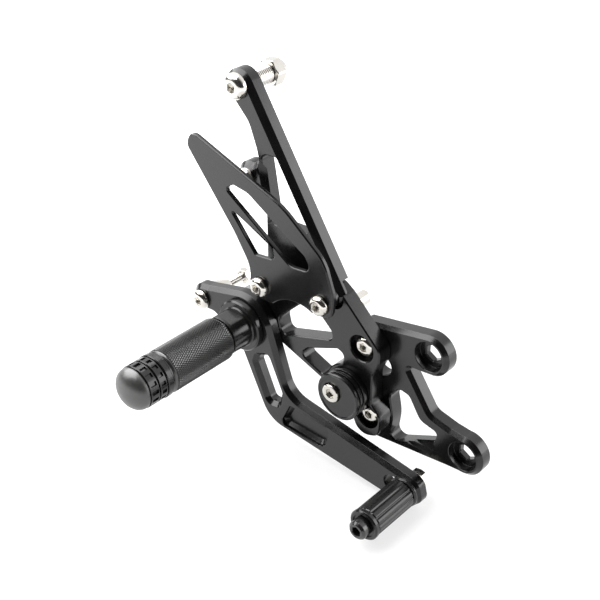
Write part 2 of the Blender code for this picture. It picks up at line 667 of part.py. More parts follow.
def make_foot_peg(b):
    """The peg's base clamps to the carrier plate and is the pedal's pivot."""
    ring(b, "pivot_bush", PEG_AXIS, LEVER_FRONT + 0.2, LEVER_BACK - 0.2, BUSH_OUTER_R,
         BUSH_INNER_R, "bronze")
    face = LEVER_FRONT - GAP
    neck_end = face - PEG_BARREL_START - GAP
    core_end = face - PEG_BARREL_END + CAP_SPIGOT
    spigot = face - (CARRIER_FRONT - GAP)
    profile = [(0.0, core_end), (PEG_CORE_R - 0.8, core_end), (PEG_CORE_R, core_end - 0.8),
               (PEG_CORE_R, neck_end), (PEG_NECK_R - 0.6, neck_end),
               (PEG_NECK_R, neck_end - 0.6), (PEG_NECK_R, PEG_FLANGE_T + 0.8),
               (PEG_NECK_R + 0.8, PEG_FLANGE_T), (PEG_FLANGE_R - 0.8, PEG_FLANGE_T),
               (PEG_FLANGE_R, PEG_FLANGE_T - 0.8), (PEG_FLANGE_R, 0.0), (PEG_SPIGOT_R, 0.0),
               (PEG_SPIGOT_R, spigot), (0.0, spigot)]
    base = b.add(turned("peg_base", profile, PEG_AXIS, face), "peg_anodised")
    b.drill(base, PEG_AXIS, PEG_BOLT_R + THREAD_GAP, face - PEG_THREAD_DEPTH, CARRIER_FRONT)
    b.mill_flats(base, PEG_AXIS, PEG_NECK_FLATS, face - neck_end + NECK_COLLAR,
                 face - PEG_FLANGE_T - NECK_FILLET)
    ring(b, "peg_barrel", PEG_AXIS, PEG_BARREL_END, PEG_BARREL_START, PEG_R,
         PEG_CORE_R + GAP, "peg_anodised", 0.9)
    make_end_cap(b)
    make_peg_bolt(b)


def make_end_cap(b):
    """Turned cap with a collar, two grooved rings and a domed end; screws onto the core."""
    bore = PEG_CORE_R + GAP
    profile = [(0.0, 31.2), (5.4, 30.5), (9.8, 28.5), (12.8, 25.5), (14.3, 22.6),
               (14.6, 20.4), (13.2, 19.9), (13.2, 19.3), (15.2, 18.8), (15.2, 13.4),
               (14.2, 12.9), (14.2, 12.3), (15.2, 11.8), (15.2, 6.2), (15.5, 5.8), (15.5, 2.2),
               (14.9, 1.6), (14.0, 1.6), (14.0, 0.0), (bore, 0.0), (bore, CAP_SPIGOT + 1.0),
               (0.0, CAP_SPIGOT + 1.0)]
    return b.add(turned("peg_end_cap", profile, PEG_AXIS, PEG_BARREL_END - GAP), "peg_anodised")


def make_peg_bolt(b):
    """Clamps the peg's base to the carrier plate from behind."""
    seat = CARRIER_BACK + GAP
    reach = seat - (LEVER_FRONT - GAP - PEG_THREAD_DEPTH + 2.0)
    head, height = PEG_BOLT_R + 3.0, PEG_BOLT_HEAD
    profile = [(0.0, reach), (PEG_BOLT_R - 0.8, reach), (PEG_BOLT_R, reach - 0.8),
               (PEG_BOLT_R, 0.0), (head, 0.0), (head, 0.7 - height), (head - 0.7, -height),
               (0.0, -height)]
    bolt = b.add(turned("peg_bolt", profile, PEG_AXIS, seat, BOLT_STEPS), "black_steel")
    b.drill(bolt, PEG_AXIS, hex_radius(8.0), seat + height / 2, seat + height + 1.0, 6)


# ---------------------------------------------------------------- toe peg, stop and bolts

def make_toe_peg(b):
    """A sleeve that turns on a bolt held in the pedal's slot."""
    hole = CAP["shank"] + THREAD_GAP
    ring(b, "toe_washer", TOE_AXIS, TOE_SLEEVE_BACK + GAP, LEVER_FRONT - GAP, TOE_COLLAR_R,
         hole, "peg_anodised", 0.5)
    ring(b, "toe_sleeve", TOE_AXIS, TOE_SLEEVE_FRONT, TOE_SLEEVE_BACK, TOE_R, hole,
         "peg_anodised", 0.8)
    front = TOE_SLEEVE_FRONT - GAP - TOE_COLLAR_T
    floor = TOE_COLLAR_T - 2.0
    profile = [(TOE_COLLAR_R - 0.6, 0.0), (TOE_COLLAR_R, -0.6), (TOE_COLLAR_R, -TOE_COLLAR_T),
               (hole, -TOE_COLLAR_T), (hole, -floor), (8.2, -floor), (8.2, 0.0)]
    b.add(turned("toe_collar", profile, TOE_AXIS, front, BOLT_STEPS, closed=True),
          "peg_anodised")
    seat = front + floor
    cap_bolt(b, "toe_bolt", TOE_AXIS, seat, CAP, LEVER_BACK + TOE_BOLT_REACH - seat,
             "black_steel")
    washer_back = LEVER_BACK + GAP + TOE_NUT_WASHER_T
    ring(b, "toe_nut_washer", TOE_AXIS, LEVER_BACK + GAP, washer_back, TOE_NUT_WASHER_R, hole,
         "stainless", 0.2)
    hex_nut(b, "toe_nut", TOE_AXIS, washer_back + GAP, M8_NUT, CAP["shank"])


def make_stop(b):
    """Eccentric disc and spacer: turning them sets how high the pedal rests."""
    depth = STOP_SPLIT - STOP_FRONT
    profile = [(0.0, -0.5), (14.6, -0.5), (15.2, 0.0), (16.3, 0.0), (STOP_R, -0.8),
               (STOP_R, -2.2), (15.6, -2.9), (15.6, -3.5), (16.9, -4.1), (16.9, -depth),
               (0.0, -depth)]
    disc = b.add(turned("stop_disc", profile, STOP_CENTRE, STOP_FRONT), "black_anodised")
    hole = CAP["shank"] + THREAD_GAP
    b.drill(disc, STOP_SCREW, hole, STOP_FRONT - 1.0, STOP_SPLIT + 1.0, BOLT_STEPS)
    b.drill(disc, STOP_SCREW, CAP["head"] + 0.5, STOP_FRONT - 1.0,
            STOP_FRONT + STOP_SEAT_DEPTH, BOLT_STEPS)
    front = STOP_SPLIT + GAP
    length = CARRIER_FRONT - GAP - front
    profile = [(0.0, 0.0), (14.6, 0.0), (15.4, -0.8), (15.4, -1.6), (16.8, -2.2),
               (16.8, -length), (0.0, -length)]
    spacer = b.add(turned("stop_spacer", profile, STOP_CENTRE, front), "black_anodised")
    b.drill(spacer, STOP_SCREW, hole, front - 1.0, CARRIER_FRONT + 1.0, BOLT_STEPS)
    low_head = {**CAP, "height": STOP_SCREW_HEAD}
    cap_bolt(b, "stop_screw", STOP_SCREW, STOP_FRONT + STOP_SEAT_DEPTH, low_head,
             STOP_SCREW_LENGTH)


def make_rod_pin(b):
    """Pin behind the pedal's rear arm, where the master cylinder's rod is attached."""
    button_bolt(b, "rod_bolt", ROD_AXIS, LEVER_FRONT, ROD_BOLT, ROD_BOLT_LENGTH)
    hole = ROD_BOLT["shank"] + THREAD_GAP
    profile = [(hole, -ROD_CONE_LENGTH), (hole, 0.0), (ROD_CONE_R, 0.0),
               (ROD_CONE_R, -ROD_CONE_CYLINDER), (hole + 0.8, 1.2 - ROD_CONE_LENGTH),
               (hole + 0.6, -ROD_CONE_LENGTH)]
    b.add(turned("rod_spacer", profile, ROD_AXIS, LEVER_BACK + GAP, BOLT_STEPS, closed=True),
          "stainless")
    hex_nut(b, "rod_nut", ROD_AXIS, ROD_NUT_FRONT, M6_NUT, ROD_BOLT["shank"])


def make_arm_bolts(b):
    """Bolts of the arm: the upper one goes through a long spacer to the frame."""
    button_bolt(b, "arm_bolt_top", ARM_BOLT_TOP, CARRIER_FRONT, TOP_BOLT, TOP_BOLT_LENGTH)
    ring(b, "arm_spacer_top", ARM_BOLT_TOP, CARRIER_BACK + GAP, TOP_SPACER_BACK, TOP_SPACER_R,
         TOP_BOLT["shank"] + THREAD_GAP, "stainless")
    dome_nut(b, "arm_nut_top", ARM_BOLT_TOP, TOP_SPACER_BACK + GAP, M10_NUT, TOP_BOLT["shank"],
             spin=8.0)
    button_bolt(b, "arm_bolt_lower", ARM_BOLT_LOWER, CARRIER_FRONT, BUTTON, ARM_BOLT_LENGTH)
    hex_nut(b, "arm_nut_lower", ARM_BOLT_LOWER, CARRIER_BACK + GAP, M8_NUT, BUTTON["shank"])


def make_carrier_bolts(b):
    for side, axis in (("upper", CARRIER_BOLT_UPPER), ("lower", CARRIER_BOLT_LOWER)):
        button_bolt(b, "carrier_bolt_" + side, axis, CARRIER_FRONT + BOLT_RECESS_DEPTH,
                    PLATE_BOLT, PLATE_BOLT_LENGTH)


def make_rear_post(b):
    """Screw in the back of the carrier plate."""
    seat = CARRIER_BACK + GAP
    head, height, shank = POST_SCREW["head"], POST_SCREW["height"], POST_SCREW["shank"]
    reach = POST_REACH
    profile = [(0.0, reach), (shank - 0.6, reach), (shank, reach - 0.6), (shank, 0.0), (head, 0.0),
               (head, 0.6 - height), (head - 0.6, -height), (0.0, -height)]
    screw = b.add(turned("rear_post", profile, REAR_POST, seat, BOLT_STEPS), "stainless")
    b.drill(screw, REAR_POST, hex_radius(POST_SCREW["hex"]), seat + height / 2,
            seat + height + 1.0, 6)


def finish_shading(b):
    """Smooth shading on every piece, broken at real edges."""
    for piece in b.parts.objects:
        piece.data.shade_smooth()
        piece.data.set_sharp_from_angle(angle=math.radians(35))


def main():
    clear_scene()
    b = Builder()
    make_bracket(b)
    make_carrier(b)
    make_carrier_bolts(b)
    make_rear_post(b)
    make_arm(b)
    make_arm_bolts(b)
    make_guard(b)
    make_pedal(b)
    make_foot_peg(b)
    make_toe_peg(b)
    make_stop(b)
    make_rod_pin(b)
    finish_shading(b)


main()
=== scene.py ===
"""Looks of the motorcycle rear-set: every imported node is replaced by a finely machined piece.

Lengths are in millimetres until a mesh is written. The plates lie parallel to XZ, -Y faces the
rider, and every turned piece has its axis along Y. Places and radii come from the frame's boxes;
the outlines of the plates repeat those of the solids with finer arcs and softened edges.
"""
import json
import math

import bmesh
import bpy
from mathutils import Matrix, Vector
from mathutils.geometry import tessellate_polygon


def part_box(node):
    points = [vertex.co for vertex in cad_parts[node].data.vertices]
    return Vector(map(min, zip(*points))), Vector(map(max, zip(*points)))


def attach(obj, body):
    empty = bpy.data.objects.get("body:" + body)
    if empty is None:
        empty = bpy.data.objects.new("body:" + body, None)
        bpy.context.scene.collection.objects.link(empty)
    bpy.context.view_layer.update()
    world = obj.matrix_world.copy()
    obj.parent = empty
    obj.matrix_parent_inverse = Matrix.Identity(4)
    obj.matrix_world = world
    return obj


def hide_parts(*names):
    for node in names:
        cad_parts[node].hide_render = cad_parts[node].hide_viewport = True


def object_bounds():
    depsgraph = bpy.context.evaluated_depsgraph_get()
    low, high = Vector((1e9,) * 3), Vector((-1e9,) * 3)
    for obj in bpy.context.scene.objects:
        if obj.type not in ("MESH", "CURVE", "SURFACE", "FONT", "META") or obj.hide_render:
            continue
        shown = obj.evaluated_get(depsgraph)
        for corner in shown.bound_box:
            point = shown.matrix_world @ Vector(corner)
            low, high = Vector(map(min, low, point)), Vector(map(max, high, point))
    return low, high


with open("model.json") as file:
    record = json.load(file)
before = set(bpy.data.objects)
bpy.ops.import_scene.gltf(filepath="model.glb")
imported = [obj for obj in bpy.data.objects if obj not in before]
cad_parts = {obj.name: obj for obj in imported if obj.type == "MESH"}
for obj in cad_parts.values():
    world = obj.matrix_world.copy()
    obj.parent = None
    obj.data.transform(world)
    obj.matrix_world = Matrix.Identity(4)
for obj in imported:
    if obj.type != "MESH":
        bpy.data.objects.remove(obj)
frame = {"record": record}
cad_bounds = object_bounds()

MM = 0.001
EDGE = 0.28            # radius that softens every machined edge
ARC_STEP = 5.0         # degrees between the points of a rounded corner
EASE_STEP = 32.0       # degrees between the points of a softened edge
SAMPLES = 72           # points round a turned piece
BODY_OF = {node: body for body, members in frame["record"]["behaviour"]["bodies"].items()
           for node in members}
SLOT_OF = {part["node"]: part["material_slot"] for part in frame["record"]["subparts"]}


# ---------------------------------------------------------------- places from the frame

def axis_of(node):
    """Centre of a node's box in the XZ plane."""
    low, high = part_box(node)
    return ((low.x + high.x) / 2 / MM, (low.z + high.z) / 2 / MM)


def levels(node):
    """Front and back of a node along Y."""
    low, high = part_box(node)
    return low.y / MM, high.y / MM


def radius_of(node):
    """Half of a node's width, which is the largest radius of a turned piece."""
    low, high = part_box(node)
    return (high.x - low.x) / 2 / MM


# ---------------------------------------------------------------- outlines in the XZ plane

def arc(centre, radius, start, end):
    """Points of an arc, as corners without rounding; angles in degrees from +X towards +Z."""
    count = max(2, math.ceil(abs(end - start) / ARC_STEP))
    angles = [math.radians(start + (end - start) * i / count) for i in range(count + 1)]
    return [(centre[0] + radius * math.cos(a), centre[1] + radius * math.sin(a), 0.0)
            for a in angles]


def circle(centre, radius):
    """A full turn, whose last point isn't repeated."""
    return arc(centre, radius, 0.0, 360.0)[:-1]


def polygon(centre, across_flats, sides=6, spin=30.0, corner=0.25):
    """A regular polygon with slightly rounded corners."""
    radius = across_flats / 2 / math.cos(math.pi / sides)
    angles = [math.radians(spin + 360.0 * i / sides) for i in range(sides)]
    return [(centre[0] + radius * math.cos(a), centre[1] + radius * math.sin(a), corner)
            for a in angles]


def straight_slot(start, end, radius):
    """A straight slot with round ends, from one centre to the other."""
    heading = math.degrees(math.atan2(end[1] - start[1], end[0] - start[0]))
    return (arc(end, radius, heading - 90, heading + 90)
            + arc(start, radius, heading + 90, heading + 270))


def sides_at(corners, i):
    """Unit vectors of the sides that enter and leave corner i."""
    x0, z0 = corners[i - 1][:2]
    x1, z1 = corners[i][:2]
    x2, z2 = corners[(i + 1) % len(corners)][:2]
    before = math.hypot(x1 - x0, z1 - z0)
    after = math.hypot(x2 - x1, z2 - z1)
    return ((x1 - x0) / before, (z1 - z0) / before), ((x2 - x1) / after, (z2 - z1) / after)


def outline(corners, distance=0.0):
    """Points of an outline moved outwards by distance, with each corner (x, z, radius) rounded.

    The number of points doesn't depend on distance, so outlines join into walls.
    """
    doubled_area = sum(corners[i - 1][0] * corners[i][1] - corners[i][0] * corners[i - 1][1]
                       for i in range(len(corners)))
    outward = 1.0 if doubled_area > 0 else -1.0
    points = []
    for i, (x, z, radius) in enumerate(corners):
        (ax, az), (bx, bz) = sides_at(corners, i)
        turn = math.atan2(ax * bz - az * bx, ax * bx + az * bz)
        push = distance * outward / (1 + ax * bx + az * bz)
        x += (az + bz) * push
        z -= (ax + bx) * push
        if radius <= 0.0:
            points.append((x, z))
            continue
        grown = max(radius + (distance if turn * outward > 0 else -distance), 0.0)
        reach = grown * math.tan(abs(turn) / 2)
        towards = math.copysign(grown, turn)
        centre_x = x - ax * reach - az * towards
        centre_z = z - az * reach + ax * towards
        start = math.atan2(-ax * math.copysign(1.0, turn), az * math.copysign(1.0, turn))
        steps = max(1, math.ceil(abs(math.degrees(turn)) / ARC_STEP))
        for k in range(steps + 1):
            angle = start + turn * k / steps
            points.append((centre_x + grown * math.cos(angle),
                           centre_z + grown * math.sin(angle)))
    return points


def eased(path, edge=EDGE, closed=False):
    """Softens the corners of a wall's path, given as (distance, level) points."""
    eased_path = []
    count = len(path)
    for i, (x, y) in enumerate(path):
        if not closed and i in (0, count - 1):
            eased_path.append((x, y))
            continue
        x0, y0 = path[i - 1]
        x2, y2 = path[(i + 1) % count]
        before, after = math.hypot(x - x0, y - y0), math.hypot(x2 - x, y2 - y)
        ax, ay, bx, by = (x - x0) / before, (y - y0) / before, (x2 - x) / after, (y2 - y) / after
        turn = math.atan2(ax * by - ay * bx, ax * bx + ay * by)
        if abs(turn) < math.radians(20.0):
            eased_path.append((x, y))
            continue
        reach = min(edge * math.tan(abs(turn) / 2), 0.42 * before, 0.42 * after)
        radius = math.copysign(reach / math.tan(abs(turn) / 2), turn)
        centre = (x - ax * reach - ay * radius, y - ay * reach + ax * radius)
        start = math.atan2(-ax * radius, ay * radius)
        steps = math.ceil(abs(math.degrees(turn)) / EASE_STEP)
        for k in range(steps + 1):
            angle = start + turn * k / steps
            eased_path.append((centre[0] + abs(radius) * math.cos(angle),
                               centre[1] + abs(radius) * math.sin(angle)))
    return eased_path


# ---------------------------------------------------------------- meshes

class Shell:
    """A closed mesh made of loops: walls join loops, and caps close them."""

    def __init__(self):
        self.bm = bmesh.new()

    def loop(self, points, level):
        return [self.bm.verts.new((x * MM, level * MM, z * MM)) for x, z in points]

    def wall(self, loops):
        for first, second in zip(loops, loops[1:]):
            for i in range(len(first)):
                j = (i + 1) % len(first)
                self.bm.faces.new((first[i], first[j], second[j], second[i]))

    def cap(self, loops):
        """Fills the first loop, leaving the others open."""
        kept = []
        for loop in loops:
            kept.append([vert for i, vert in enumerate(loop)
                         if (vert.co - loop[i - 1].co).length > 0.002 * MM])
        flat = [vert for loop in kept for vert in loop]
        for corners in tessellate_polygon([[Vector((v.co.x, v.co.z, 0.0)) / MM for v in loop]
                                           for loop in kept]):
            self.bm.faces.new([flat[i] for i in corners])

    def finish(self, name):
        bmesh.ops.remove_doubles(self.bm, verts=self.bm.verts, dist=0.001 * MM)
        bmesh.ops.dissolve_degenerate(self.bm, edges=self.bm.edges, dist=0.0002 * MM)
        bmesh.ops.recalc_face_normals(self.bm, faces=self.bm.faces)
        mesh = bpy.data.meshes.new(name)
        self.bm.to_mesh(mesh)
        self.bm.free()
        piece = bpy.data.objects.new(name, mesh)
        bpy.context.scene.collection.objects.link(piece)
        return piece


def opening(corners, slope=0.3, depth=None, inner=(), lean=0.0):
    """A window, hole or pocket: depth None goes right through, lean slopes a pocket's foot."""
    return {"corners": corners, "slope": slope, "depth": depth, "inner": inner, "lean": lean}


def sink(shell, shape, top, back):
    """Makes an opening's walls. Returns its loop on top and the loops that reach the back."""
    slope, through = shape["slope"], shape["depth"] is None
    floor = back if through else top + shape["depth"]
    path = [(slope + 2 * EDGE, top), (slope, top), (0.0, top + slope)]
    if through:
        path += [(0.0, floor), (2 * EDGE, floor)]
    else:
        lean = shape["lean"]
        if lean > 0.0:
            path.append((0.0, floor - lean))
        path += [(-lean, floor), (-lean - 2 * EDGE, floor)]
    loops = [shell.loop(outline(shape["corners"], distance), level)
             for distance, level in eased(path)]
    shell.wall(loops)
    if through:
        return loops[0], [loops[-1]]
    inner = [sink(shell, deeper, floor, back) for deeper in shape["inner"]]
    shell.cap([loops[-1]] + [mouth for mouth, _ in inner])
    return loops[0], [end for _, ends in inner for end in ends]


def plate(name, corners, front, back, chamfer, openings=(), wall=None):
    """A machined plate between two levels, with a chamfered front edge."""
    shell = Shell()
    lip = chamfer + 2 * EDGE
    path = wall or [(-lip, front), (-chamfer, front), (0.0, front + chamfer), (0.0, back),
                    (-3 * EDGE, back)]
    loops = [shell.loop(outline(corners, distance), level) for distance, level in eased(path)]
    shell.wall(loops)
    sunk = [sink(shell, shape, front if wall is None else path[0][1], back)
            for shape in openings]
    shell.cap([loops[0]] + [mouth for mouth, _ in sunk])
    shell.cap([loops[-1]] + [end for _, ends in sunk for end in ends])
    return shell.finish(name)


def ring_points(axis, radius, samples=SAMPLES):
    """Points of a turned ring; radius is a number or a function of the angle in radians."""
    points = []
    for i in range(samples):
        angle = 2 * math.pi * i / samples
        reach = radius(angle) if callable(radius) else radius
        points.append((axis[0] + reach * math.cos(angle), axis[1] + reach * math.sin(angle)))
    return points


def turned(name, axis, path, openings=(), closed=False, thread=None, samples=SAMPLES):
    """A turned piece from the (radius, level) path of its outer side, front to back.

    thread is (outer radius, pitch, start, end) and takes the place of the path's last stretch.
    """
    shell = Shell()
    loops = [shell.loop(ring_points(axis, radius, samples), level)
             for radius, level in eased(path, closed=closed)]
    if thread:
        loops += [shell.loop(ring_points(axis, radius, samples), level)
                  for radius, level in thread_rings(*thread)]
    if closed:
        shell.wall(loops + loops[:1])
        return shell.finish(name)
    shell.wall(loops)
    sunk = [sink(shell, shape, path[0][1], path[-1][1]) for shape in openings]
    shell.cap([loops[0]] + [mouth for mouth, _ in sunk])
    shell.cap([loops[-1]] + [end for _, ends in sunk for end in ends])
    return shell.finish(name)


def thread_rings(radius, pitch, start, end):
    """Rings of a helical thread that fades out at its start and tapers at its end."""
    depth = 0.55 * pitch
    count = int((end - start) / pitch * 4)

    def ridge(level):
        fade = min(1.0, (level - start) / pitch, (end - level) / pitch)

        def reach(angle):
            phase = (level / pitch + angle / (2 * math.pi)) % 1.0
            return radius - depth * fade * min(1.0, 1.6 * (1.0 - abs(2 * phase - 1.0)))
        return reach
    rings = [(ridge(start + (end - start) * i / count), start + (end - start) * i / count)
             for i in range(1, count)]
    return rings + [(radius - depth, end + 0.35 * pitch)]


def carve(piece, cutter):
    """Cuts a piece with another mesh, which is then removed."""
    boolean = piece.modifiers.new("carve", "BOOLEAN")
    boolean.operation = "DIFFERENCE"
    boolean.solver = "EXACT"
    boolean.object = cutter
    bpy.context.view_layer.update()
    carved = bpy.data.meshes.new_from_object(
        piece.evaluated_get(bpy.context.evaluated_depsgraph_get()))
    piece.modifiers.clear()
    piece.data = carved
    bpy.data.objects.remove(cutter)
    return piece


def cutter(corners, front, back):
    """A plain prism for carving."""
    shell = Shell()
    loops = [shell.loop(outline(corners), level) for level in (front, back)]
    shell.wall(loops)
    shell.cap([loops[0]])
    shell.cap([loops[1]])
    return shell.finish("cutter")


def flared(corners, front, back, slope):
    """A prism for carving a window whose rim slopes outwards at the front."""
    shell = Shell()
    path = [(slope + 1.0, front - 1.0), (slope + 0.3, front - 0.05), (slope - 0.1, front + 0.1),
            (0.1, front + slope - 0.1), (0.0, front + slope + 0.15), (0.0, back + 1.0)]
    loops = [shell.loop(outline(corners, distance), level) for distance, level in path]
    shell.wall(loops)
    shell.cap([loops[0]])
    shell.cap([loops[-1]])
    return shell.finish("cutter")


# ---------------------------------------------------------------- materials

def node(tree, kind, **settings):
    """A shader node with its inputs or its properties set by name."""
    made = tree.nodes.new("ShaderNode" + kind)
    for key, value in settings.items():
        if key in made.inputs:
            made.inputs[key].default_value = value
        else:
            setattr(made, key, value)
    return made


def stretched_noise(tree, scale, stretch, detail=3.0):
    """Noise in the object's own coordinates, stretched along its axes."""
    place = node(tree, "TexCoord")
    mapping = node(tree, "Mapping")
    mapping.inputs["Scale"].default_value = stretch
    noise = node(tree, "TexNoise", Scale=scale, Detail=detail)
    tree.links.new(place.outputs["Object"], mapping.inputs["Vector"])
    tree.links.new(mapping.outputs["Vector"], noise.inputs["Vector"])
    return noise


def ramp(tree, source, low, high, start=0.3, end=0.7):
    """Maps a noise between two values."""
    spread = node(tree, "MapRange")
    spread.inputs["From Min"].default_value = start
    spread.inputs["From Max"].default_value = end
    spread.inputs["To Min"].default_value = low
    spread.inputs["To Max"].default_value = high
    tree.links.new(source, spread.inputs["Value"])
    return spread.outputs["Result"]


def bump(tree, height, depth, under=None):
    """A bump whose height runs over depth metres."""
    made = node(tree, "Bump", Strength=1.0, Distance=depth)
    tree.links.new(height, made.inputs["Height"])
    if under is not None:
        tree.links.new(under.outputs["Normal"], made.inputs["Normal"])
    return made


def metal(name, colour, tint, rough, grain, lines, metallic=0.0, ior=1.5):
    """A metal finish: mottled colour, uneven roughness, fine grain and directional tool marks.

    grain is (size, depth) of the blasted grain; lines is (size, stretch, depth) of tool marks.
    """
    made = bpy.data.materials.new(name)
    made.use_nodes = True
    tree = made.node_tree
    shader = tree.nodes["Principled BSDF"]
    shader.inputs["Metallic"].default_value = metallic
    shader.inputs["IOR"].default_value = ior
    mottle = stretched_noise(tree, 70.0, (1.0, 1.0, 1.0))
    mix = node(tree, "Mix", data_type="RGBA")
    colours = [socket for socket in mix.inputs if socket.type == "RGBA"]
    colours[0].default_value = (*colour, 1.0)
    colours[1].default_value = (*tint, 1.0)
    tree.links.new(ramp(tree, mottle.outputs["Fac"], 0.0, 1.0), mix.inputs["Factor"])
    blend = [socket for socket in mix.outputs if socket.type == "RGBA"][0]
    tree.links.new(blend, shader.inputs["Base Color"])
    marks = stretched_noise(tree, 1.0 / lines[0], lines[1], 2.0)
    uneven = node(tree, "Math", operation="ADD")
    tree.links.new(ramp(tree, mottle.outputs["Fac"], rough[0], rough[1]), uneven.inputs[0])
    tree.links.new(ramp(tree, marks.outputs["Fac"], -0.015, 0.015), uneven.inputs[1])
    tree.links.new(uneven.outputs["Value"], shader.inputs["Roughness"])
    fine = stretched_noise(tree, 1.0 / grain[0], (1.0, 1.0, 1.0), 1.0)
    blasted = bump(tree, fine.outputs["Fac"], grain[1])
    tooled = bump(tree, marks.outputs["Fac"], lines[2], blasted)
    tree.links.new(tooled.outputs["Normal"], shader.inputs["Normal"])
    return made


def make_materials():
    across = (1.0, 0.05, 1.0)
    round_y = (0.05, 1.0, 0.05)
    return {
        "black_anodised": metal("black_anodised_plate", (0.0030, 0.0028, 0.0031),
                                (0.0045, 0.0041, 0.0045), (0.19, 0.25), (0.0005, 0.0000012),
                                (0.0007, across, 0.000003)),
        "peg_anodised": metal("black_anodised_turned", (0.0060, 0.0060, 0.0060),
                              (0.0085, 0.0082, 0.0080), (0.17, 0.24), (0.0005, 0.0000012),
                              (0.0006, round_y, 0.000002)),
        "cap_anodised": metal("black_anodised_cap", (0.014, 0.0135, 0.013),
                              (0.018, 0.017, 0.016), (0.34, 0.42), (0.0004, 0.000003),
                              (0.0006, round_y, 0.0000015), ior=1.9),
        "knurled_anodised": metal("black_anodised_knurl", (0.009, 0.009, 0.009),
                                  (0.018, 0.017, 0.017), (0.26, 0.34), (0.0005, 0.0000012),
                                  (0.0006, round_y, 0.000002), ior=1.8),
        "stainless": metal("stainless_steel", (0.66, 0.64, 0.60), (0.58, 0.56, 0.52),
                           (0.10, 0.20), (0.0006, 0.000001), (0.0006, round_y, 0.0000015),
                           metallic=1.0),
        "black_steel": metal("black_oxide_steel", (0.0075, 0.0070, 0.0070),
                             (0.011, 0.010, 0.010), (0.18, 0.26), (0.0005, 0.0000015),
                             (0.0006, round_y, 0.0000015), ior=1.7),
        "bronze": metal("bearing_bronze", (0.46, 0.30, 0.14), (0.38, 0.24, 0.11),
                        (0.28, 0.38), (0.0005, 0.000002), (0.0006, round_y, 0.000002),
                        metallic=1.0),
    }


# ---------------------------------------------------------------- shared places

BRACKET_FRONT, BRACKET_BACK = levels("main_bracket")
CARRIER_FRONT, CARRIER_BACK = levels("carrier_plate")
CARRIER_MIDDLE = (CARRIER_FRONT + CARRIER_BACK) / 2
LEVER_FRONT, LEVER_BACK = levels("pedal_arm")
GUARD_FRONT, GUARD_BACK = levels("heel_guard")
PEG_AXIS = axis_of("peg_barrel")
TOE_AXIS = axis_of("toe_sleeve")
STOP_CENTRE = axis_of("stop_disc")
STOP_SCREW = axis_of("stop_screw")
GUARD_LEFT = axis_of("guard_bolt_left")
GUARD_RIGHT = axis_of("guard_bolt_right")
CARRIER_UPPER = axis_of("carrier_bolt_upper")
CARRIER_LOWER = axis_of("carrier_bolt_lower")
ARM_TOP = axis_of("arm_bolt_top")
ARM_LOWER = axis_of("arm_bolt_lower")
ROD_AXIS = axis_of("rod_bolt")
POST_AXIS = axis_of("rear_post")
FRAME_UPPER = (0.0, 0.0)
FRAME_LOWER = (31.0, -62.5)
CLEARANCE = 0.3
M6, M8, M10 = 3.0, 4.0, 5.0
ARM_CHAMFER = 3.8
LEG_CHAMFER = 4.2
EDGE_BREAK = 0.8


# ---------------------------------------------------------------- plates

def make_bracket():
    """Bracket with two counterbored lugs, hexagonal frame holes and a stepped window."""
    lug_r = 14.4
    corners = ([(-54.0, 4.0, 5.0)] + arc(FRAME_UPPER, lug_r, 102, -78)
               + [(-15.5, -15.6, 1.6), (4.2, -43.6, 9.0), (20.0, -47.2, 6.0)]
               + arc(FRAME_LOWER, lug_r, 96, -96)
               + [(20.0, -77.6, 8.0), (-45.0, -85.0, 7.0), (-52.0, -70.0, 12.0)])
    window = [(-20.5, -35.0, 5.0), (-27.5, -44.0, 7.0), (-24.0, -60.0, 30.0),
              (-26.0, -77.3, 5.0), (-18.5, -77.3, 5.0), (9.3, -63.6, 3.5), (11.0, -54.5, 3.0),
              (-3.0, -51.5, 9.0), (-12.5, -36.5, 4.0)]
    openings = [opening(window, EDGE_BREAK), opening(circle((-35.5, -23.0), 8.0), 0.6)]
    for axis in (CARRIER_UPPER, CARRIER_LOWER):
        openings.append(opening(circle(axis, M8 + CLEARANCE), 0.3))
    for axis in (FRAME_UPPER, FRAME_LOWER):
        hexagon = opening(polygon(axis, 10.5), 0.5)
        openings.append(opening(circle(axis, 10.3), 0.35, 6.0, [hexagon]))
    piece = plate("main_bracket", corners, BRACKET_FRONT, BRACKET_BACK, 2.6, openings)
    for step, depth in enumerate((2.1, 4.7)):
        rise, inset = 2.4 * step, 1.7 * step
        ledge = [(-20.0, -66.0, 0.0), (-20.0, -74.1 + rise, 0.0),
                 (8.2 - inset, -74.1 + rise, 1.8), (10.5 - inset, -69.0 + rise, 1.8),
                 (8.6 - inset, -61.0, 0.0)]
        carve(piece, cutter(ledge, BRACKET_FRONT - 1.0, BRACKET_FRONT + depth))
    return piece


def arm_outline():
    """Outline of the upper arm and its rear leg, which the carrier's lap repeats."""
    return ([(-151.4, 129.4, 4.0)] + arc((-147.4, 139.8), 12.0, 212, 32)
            + arc(GUARD_RIGHT, 8.2, 20, -80) + arc(GUARD_LEFT, 9.2, -80, -175)
            + [(-126.6, 30.0, 30.0), (-126.8, 71.0, 6.0)] + arc(ARM_LOWER, 10.2, 288, 75)
            + [(-132.3, 94.5, 4.0), (-134.5, 103.0, 8.0), (-140.4, 118.5, 14.0)])


